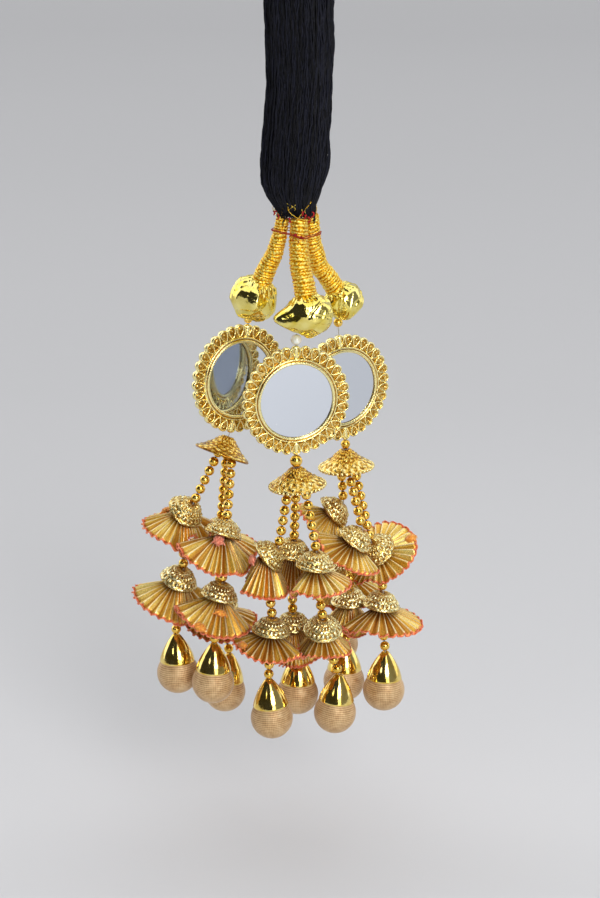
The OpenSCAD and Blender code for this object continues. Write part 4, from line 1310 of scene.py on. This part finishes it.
def tieLoop(z, extra):
    # the outline of all three stems: at each angle the stem that reaches furthest
    angle = np.linspace(0, tau, tieLook["steps"], endpoint=False)
    way = np.stack([np.cos(angle), np.sin(angle)], axis=-1)
    best, points = np.full(len(angle), -1e9), np.zeros((len(angle), 2))
    for side in sides:
        low, high = stemRows[side][3:]
        radius = low + tieLook["along"] * (high - low) + tieLook["stand"] + extra
        here = stemMiddle(side, z)[:2] + way * radius
        reach = (here * way).sum(axis=-1)
        points = np.where((reach > best)[:, None], here, points)
        best = np.maximum(best, reach)
    return roundMean(points, 2)


# red cotton, darker in its twist
redCotton = twoTone("redThread", 0.7, (0.24, 0.006, 0.006), (0.55, 0.025, 0.02), 0.7, (0.2, 2, 0.12),
                    rough=0.7, shine=0.3)


def makeTie():
    # slanted turns of thread round the stems, and at each knot a lump and two short ends
    look = tieLook
    parts = []
    for k in range(look["turns"]):
        loop = tieLoop(look["z"], look["over"] * (k % 2))
        wave = look["wave"] * np.sin(np.linspace(0, tau, len(loop), endpoint=False) * (2 + k) + 2 * k)
        height = look["z"] + (k - (look["turns"] - 1) / 2) * look["pitch"] - look["slope"] * loop[:, 0] + wave
        path = np.concatenate([loop, height[:, None]], axis=1)
        across = unit(np.cross(ringWay(path), [0, 0, 1.0]))
        ring = crossRing(ringAngles(look["sides"]), across, np.array([0, 0, -1.0]))
        parts.append(gridPart(path[:, None] + look["thread"] * ring))
    for turn, size in look["knots"]:
        at = path[int(turn / 360 * len(path))] + [0, -0.2, 0]
        points, faces = ballPart(size, 8, 12)
        parts.append((at + points * (1 + 0.25 * np.sin(points @ [9, 7, 11]))[:, None], faces))
        for side, fall in look["ends"]:
            t = np.linspace(0, 1, 8)
            end = np.stack([side * look["endOut"] * t**0.7, -0.5 * np.sin(math.pi * t), -fall * t**1.5], axis=-1)
            parts.append(capped(tubeGrid(at + end, look["thread"] * look["endThread"], 5)))
    makePiece("red_tie", parts, redCotton, ["stem_tie"])
    print("tie made")


makeTie()

# Hank of black thread

hankRows = np.array([  # z, middle x, middle y, half width, depth as a share of the width
    [0, 0, 0, 10.1, 1], [-1, 0, 0, 9.55, 1], [-4.8, 0, 0, 9.4, 1], [-6.4, 0, 0, 12.05, 0.87],
    [-9.5, -0.2, 0, 13.3, 0.74], [-15, -0.4, 0, 13.4, 0.74], [-30, -0.2, 0, 13.15, 0.74],
    [-46, -0.2, 0, 12.75, 0.74], [-62, -1.3, 0, 13.3, 0.74], [-72, -2, 0, 13.55, 0.74],
    [-78, -2.5, 0, 13.3, 0.74], [-83.5, -3, 0, 12.45, 0.74], [-88.5, -2.8, 0.4, 10.7, 0.74],
    [-93, -2, 0.8, 8.2, 0.74], [-96.6, -1.2, 0.8, 7.4, 0.74]])
hankLook = {
    "threads": 400, "radius": 0.28, "steps": 46, "columns": 3, "locks": 10, "groove": 0.06,
    "threadEnd": (94, 96.5), "under": 0.09, "drift": 0.12,
    "core": 0.9, "coreRows": 60, "coreColumns": 80, "loops": 9, "sideLoops": 5, "loopRadius": 0.22,
    "ends": 44, "endLong": 7, "endOut": 0.9, "endRadius": 0.24, "endColumns": 4, "endSteps": 14,
    "endTop": (-94.5, -90), "endShare": 0.94,
    "wisps": 26, "wispLong": 6.5, "wispOut": 1.5, "wispRadius": 0.17,
    # x and z of each red end that shows under the hank, on its front
    "redAt": [(-9.4, -93.5), (-8.3, -95), (1.6, -93.3), (2.6, -94.6), (3.4, -96), (-4.6, -96.5), (5.2, -94)],
    "redRadius": 0.3, "redSteps": 9, "redSides": 5, "redHalf": 7.6,
    "whipTurns": 5, "whipRadius": 0.32, "whipTop": -1.75, "whipPitch": 0.58, "whipNeck": 9.7,
    "whipSteps": 72, "whipSides": 6,
}


def hankAt(z, angle, share):
    # a point at share of the section's half width, with the locks' grooves pressed in
    rows = hankRows[::-1]
    x, y, half, deep = (np.interp(z, rows[:, 0], rows[:, k]) for k in (1, 2, 3, 4))
    press = 1 - hankLook["groove"] * (1 - np.cos(hankLook["locks"] * angle + np.radians(1.5) * z)) / 2
    r = half * share * press
    return np.stack([x + r * np.cos(angle), y + r * deep * np.sin(angle), z + 0 * r], axis=-1)


def hankThreads():
    # each thread keeps its angle round the hank, with its own slow drift and small waves
    look, n = hankLook, hankLook["threads"]
    start = np.arange(n) * tau * 0.618 + rng.uniform(-0.03, 0.03, n)
    level = 1 - look["under"] * rng.random(n)
    z = -np.linspace(0.001, 1, look["steps"]) * rng.uniform(*look["threadEnd"], n)[:, None]
    drift = rng.normal(0, look["drift"], n)[:, None] * np.sin(-z / 30 + rng.uniform(0, tau, n)[:, None])
    angle = start[:, None] + drift + 0.02 * np.sin(-z * rng.uniform(0.4, 0.9, n)[:, None] + start[:, None])
    share = level[:, None] + 0.018 * np.sin(-z * rng.uniform(0.25, 0.6, n)[:, None] + 3 * start[:, None]) - 0.02
    return hankAt(z, angle, share)


def hankLoops():
    # a few threads that have come away at the right and bow outward, low down and then higher up
    look, paths = hankLook, []
    for k in range(look["loops"]):
        top, low = (-60 - 2.2 * k, -88 + 0.5 * k) if k < look["sideLoops"] else (-2 - 4 * k, -30 - 2 * k)
        z = np.linspace(top, low, look["steps"])
        bow = np.sin(math.pi * np.linspace(0, 1, look["steps"]))
        angle = -0.35 + 0.12 * k + 0 * z
        path = hankAt(z, angle, 0.985 + 0 * z)
        path[:, 0] += bow * (0.5 + 0.35 * (k % 3))
        paths.append(path)
    return np.array(paths)


def hankEnds(count, long, out, random):
    # loose ends that start just inside the hank's lower part, bow outward and run down over the stems
    look = hankLook
    t = np.linspace(0, 1, look["endSteps"])
    angle = random.uniform(0, tau, count)[:, None] + 0.25 * np.sin(3 * t + random.uniform(0, tau, count)[:, None])
    top = random.uniform(*look["endTop"], count)[:, None]
    z = top - random.uniform(0.5, 1, count)[:, None] * long * t
    start = hankAt(np.maximum(z, -96.4), angle, look["endShare"] + 0 * z)
    bow = random.uniform(0.2, 1, count)[:, None] * out * np.sin(2.4 * t)
    start[..., 0] += bow * np.cos(angle)
    start[..., 1] += bow * np.sin(angle)
    start[..., 2] = z
    return start


def hankCore():
    # a dark inner form just under the threads
    rows, columns = hankLook["coreRows"], hankLook["coreColumns"]
    z = np.linspace(-0.05, -96.3, rows)[:, None]
    angle = ringAngles(columns)
    share = np.full((rows, columns), hankLook["core"])
    return capped(hankAt(z + 0 * angle, angle + 0 * z, share)[::-1])


def blackMaterial():
    # black thread, a little blue, some threads duller than others
    look = Shader("blackThread", rough=0.45, shine=0.25)
    tone = look.ragged(look.value("shade"), 1.5, 3, 0.3)
    look.paint(look.colours(tone, [(0.2, (0.0015, 0.0015, 0.003)), (0.9, (0.009, 0.01, 0.02))]))
    look.roughness(look.spread(look.noise(0.8, 2), 0.3, 0.7, 0.35, 0.6))
    look.bump(look.noise(0.3, 2), 0.1)
    return look.material


def whippingParts():
    # turns of thread laid side by side round the neck
    look, parts = hankLook, []
    angle, a = ringAngles(look["whipSteps"]), ringAngles(look["whipSides"])
    radius = look["whipNeck"] + look["whipRadius"] + 0.1
    for k in range(look["whipTurns"]):
        z = look["whipTop"] - k * look["whipPitch"] + 0.06 * np.sin(3 * angle + k)
        r = radius + look["whipRadius"] * np.cos(a)[None, :] + 0.1 * (k % 2)
        ring = aboutZ(r, angle[:, None], z[:, None] - look["whipRadius"] * np.sin(a)[None, :])
        parts.append(gridPart(ring))
    return parts


def redBits(random):
    # short curled ends of the tie: down from each place with a wave, on the ellipse of the hank's front
    look = hankLook
    at = np.array(look["redAt"])
    t = np.linspace(0, 1, look["redSteps"])
    curl = random.uniform(0, tau, len(at))[:, None]
    x = at[:, :1] + 1.3 * t * np.cos(curl) + 0.5 * np.sin(6 * t + curl)
    z = at[:, 1:] - 1.8 * t + 0.4 * np.cos(6 * t + curl)
    half = look["redHalf"]
    y = -0.74 * half * np.sqrt(np.maximum(0.05, 1 - ((x + 1.4) / (half + 2))**2)) - 0.5 + 0 * t
    return np.stack([x, y, z], axis=-1)


def makeHank():
    # threads and loops, each of its own shade, then duller ends over a dark core, both painted darker as painted
    # shade at the hank's lower end and inside it; wisps, red ends and whipping
    look, black = hankLook, blackMaterial()
    parts = tubes(hankThreads(), look["radius"], look["columns"])
    parts += tubes(hankLoops(), look["loopRadius"], look["columns"])
    shade = np.repeat(rng.random(len(parts)), len(parts[0][0]))
    random = np.random.default_rng(11)
    ends = hankEnds(look["ends"], look["endLong"], look["endOut"], random)
    dull = tubes(ends, look["endRadius"], look["endColumns"]) + [hankCore()]
    # painted shade: the loose ends and the core take the low shade 0.2
    parts, shade = parts + dull, np.concatenate([shade, np.full(pointCount(dull), 0.2)])
    makePiece("thread_hank", parts, black, ["hank"], {"shade": shade})
    wisps = hankEnds(look["wisps"], look["wispLong"], look["wispOut"], random)
    fine = tubes(wisps, look["wispRadius"], look["endColumns"])
    makePiece("gold_wisps", fine, zari, ["stem_centre"], {"high": np.full(pointCount(fine), 0.8)})
    red = tubes(redBits(random), look["redRadius"], look["redSides"])
    makePiece("red_bits", red, redCotton, ["stem_tie"])
    whipping = whippingParts()
    makePiece("neck_whipping", whipping, black, ["hank_whipping"],
              {"shade": np.full(pointCount(whipping), 0.4)})
    print("hank made")


makeHank()

# Floor, sky and lamps

studio = {
    "floorZ": -360, "floorSize": 60,
    "sky": (0.98, 0.985, 1.0), "strength": 0.53, "base": 1.12,
    # windows and dark corners, each laid over the ones before: its brightness, and its bounds as
    # (turn to the right of the camera's side, height, angle from there, softness) in degrees
    "patches": [
        (2.7, [(150, 75, 34, 10)]),
        (0.07, [(-79, 0, 90, 3), (-12, 0, 90, 8), (0, -90, 152, 10), (0, 90, 128, 8)]),
        (0.4, [(126, 0, 90, 6), (-2, 0, 90, 6), (0, -90, 150, 8), (0, 90, 112, 8)]),
        (6, [(-34, 30, 3.5, 1.5)]),
        (4.8, [(103, 0, 90, 2), (-62, 0, 90, 3), (0, 90, 96, 3), (0, -90, 154, 8)]),
        (2.6, [(190, 0, 90, 4), (50, 0, 90, 6), (0, 90, 88, 6), (0, -90, 145, 8)]),
        (3, [(-190, 0, 90, 4), (-60, 0, 90, 6), (0, 90, 88, 6), (0, -90, 145, 8)]),
    ],
    "lampAt": (0.58, -1.6, 0.6), "lampSize": 0.7, "lampPower": 13,
    "aim": (0, 0, -0.25),
}


def makeFloor():
    # pale floor, a little darker further back, a painted fall-off of the light
    look = Shader("paleFloor", rough=0.6)
    far = look.add("SeparateXYZ", {0: look.place}).outputs["Y"]
    # painted fall-off of the light: darker with distance back, with a little random tone
    tone = look.ragged(look.spread(far, -0.3, 3.3), 900, 2, 0.03)
    look.paint(look.colours(tone, [(0.05, (0.67, 0.67, 0.68)), (0.25, (0.56, 0.56, 0.57)),
                                   (0.9, (0.46, 0.46, 0.47))]))
    half, z = studio["floorSize"] / 2, studio["floorZ"] * mm
    mesh = bpy.data.meshes.new("floor")
    mesh.from_pydata([(-half, -half, z), (half, -half, z), (half, half, z), (-half, half, z)], [], [(0, 1, 2, 3)])
    floor = bpy.data.objects.new("floor", mesh)
    mesh.materials.append(look.material)
    bpy.context.scene.collection.objects.link(floor)


def makeSky():
    # even light all round with windows and dark corners: inside a patch its own brightness takes over, and a
    # patch is a product of smooth steps on the angle between the view direction and directions of its own
    world = bpy.data.worlds.new("sky")
    bpy.context.scene.world = world
    world.use_nodes = True
    tree = world.node_tree
    back = tree.nodes["Background"]
    way = tree.nodes.new("ShaderNodeTexCoord").outputs["Generated"]

    def node(kind, inputs, **settings):
        return addNode(tree, kind, inputs, settings).outputs

    def inside(bounds):
        # each step is 1 within half of its direction and 0 past half + soft
        share = 1
        for turn, height, half, soft in np.radians(bounds):
            toward = (math.sin(turn) * math.cos(height), -math.cos(turn) * math.cos(height), math.sin(height))
            dot = node("VectorMath", {0: way, 1: toward}, operation="DOT_PRODUCT")["Value"]
            ends = {"Value": dot, "From Min": math.cos(half + soft), "From Max": math.cos(half)}
            step = node("MapRange", ends, interpolation_type="SMOOTHSTEP")["Result"]
            share = node("Math", {0: step, 1: share}, operation="MULTIPLY")[0]
        return share

    light = studio["base"]
    for bright, bounds in studio["patches"]:
        light = node("Mix", {"Factor": inside(bounds), 2: light, 3: bright})[0]
    colour = node("VectorMath", {0: light, 1: studio["sky"]}, operation="MULTIPLY")[0]
    tree.links.new(colour, back.inputs["Color"])
    back.inputs["Strength"].default_value = studio["strength"]


def makeLamp():
    # a soft lamp beside the camera, in line with the bright strip of the sky
    data = bpy.data.lights.new("lamp", "AREA")
    data.size, data.energy = studio["lampSize"], studio["lampPower"]
    lamp = bpy.data.objects.new("lamp", data)
    lamp.location = studio["lampAt"]
    lamp.rotation_euler = (Vector(studio["lampAt"]) - Vector(studio["aim"])).to_track_quat("Z", "Y").to_euler()
    bpy.context.scene.collection.objects.link(lamp)


makeFloor()
makeSky()
makeLamp()
bpy.context.scene.view_settings.view_transform = "Standard"
print("studio made")
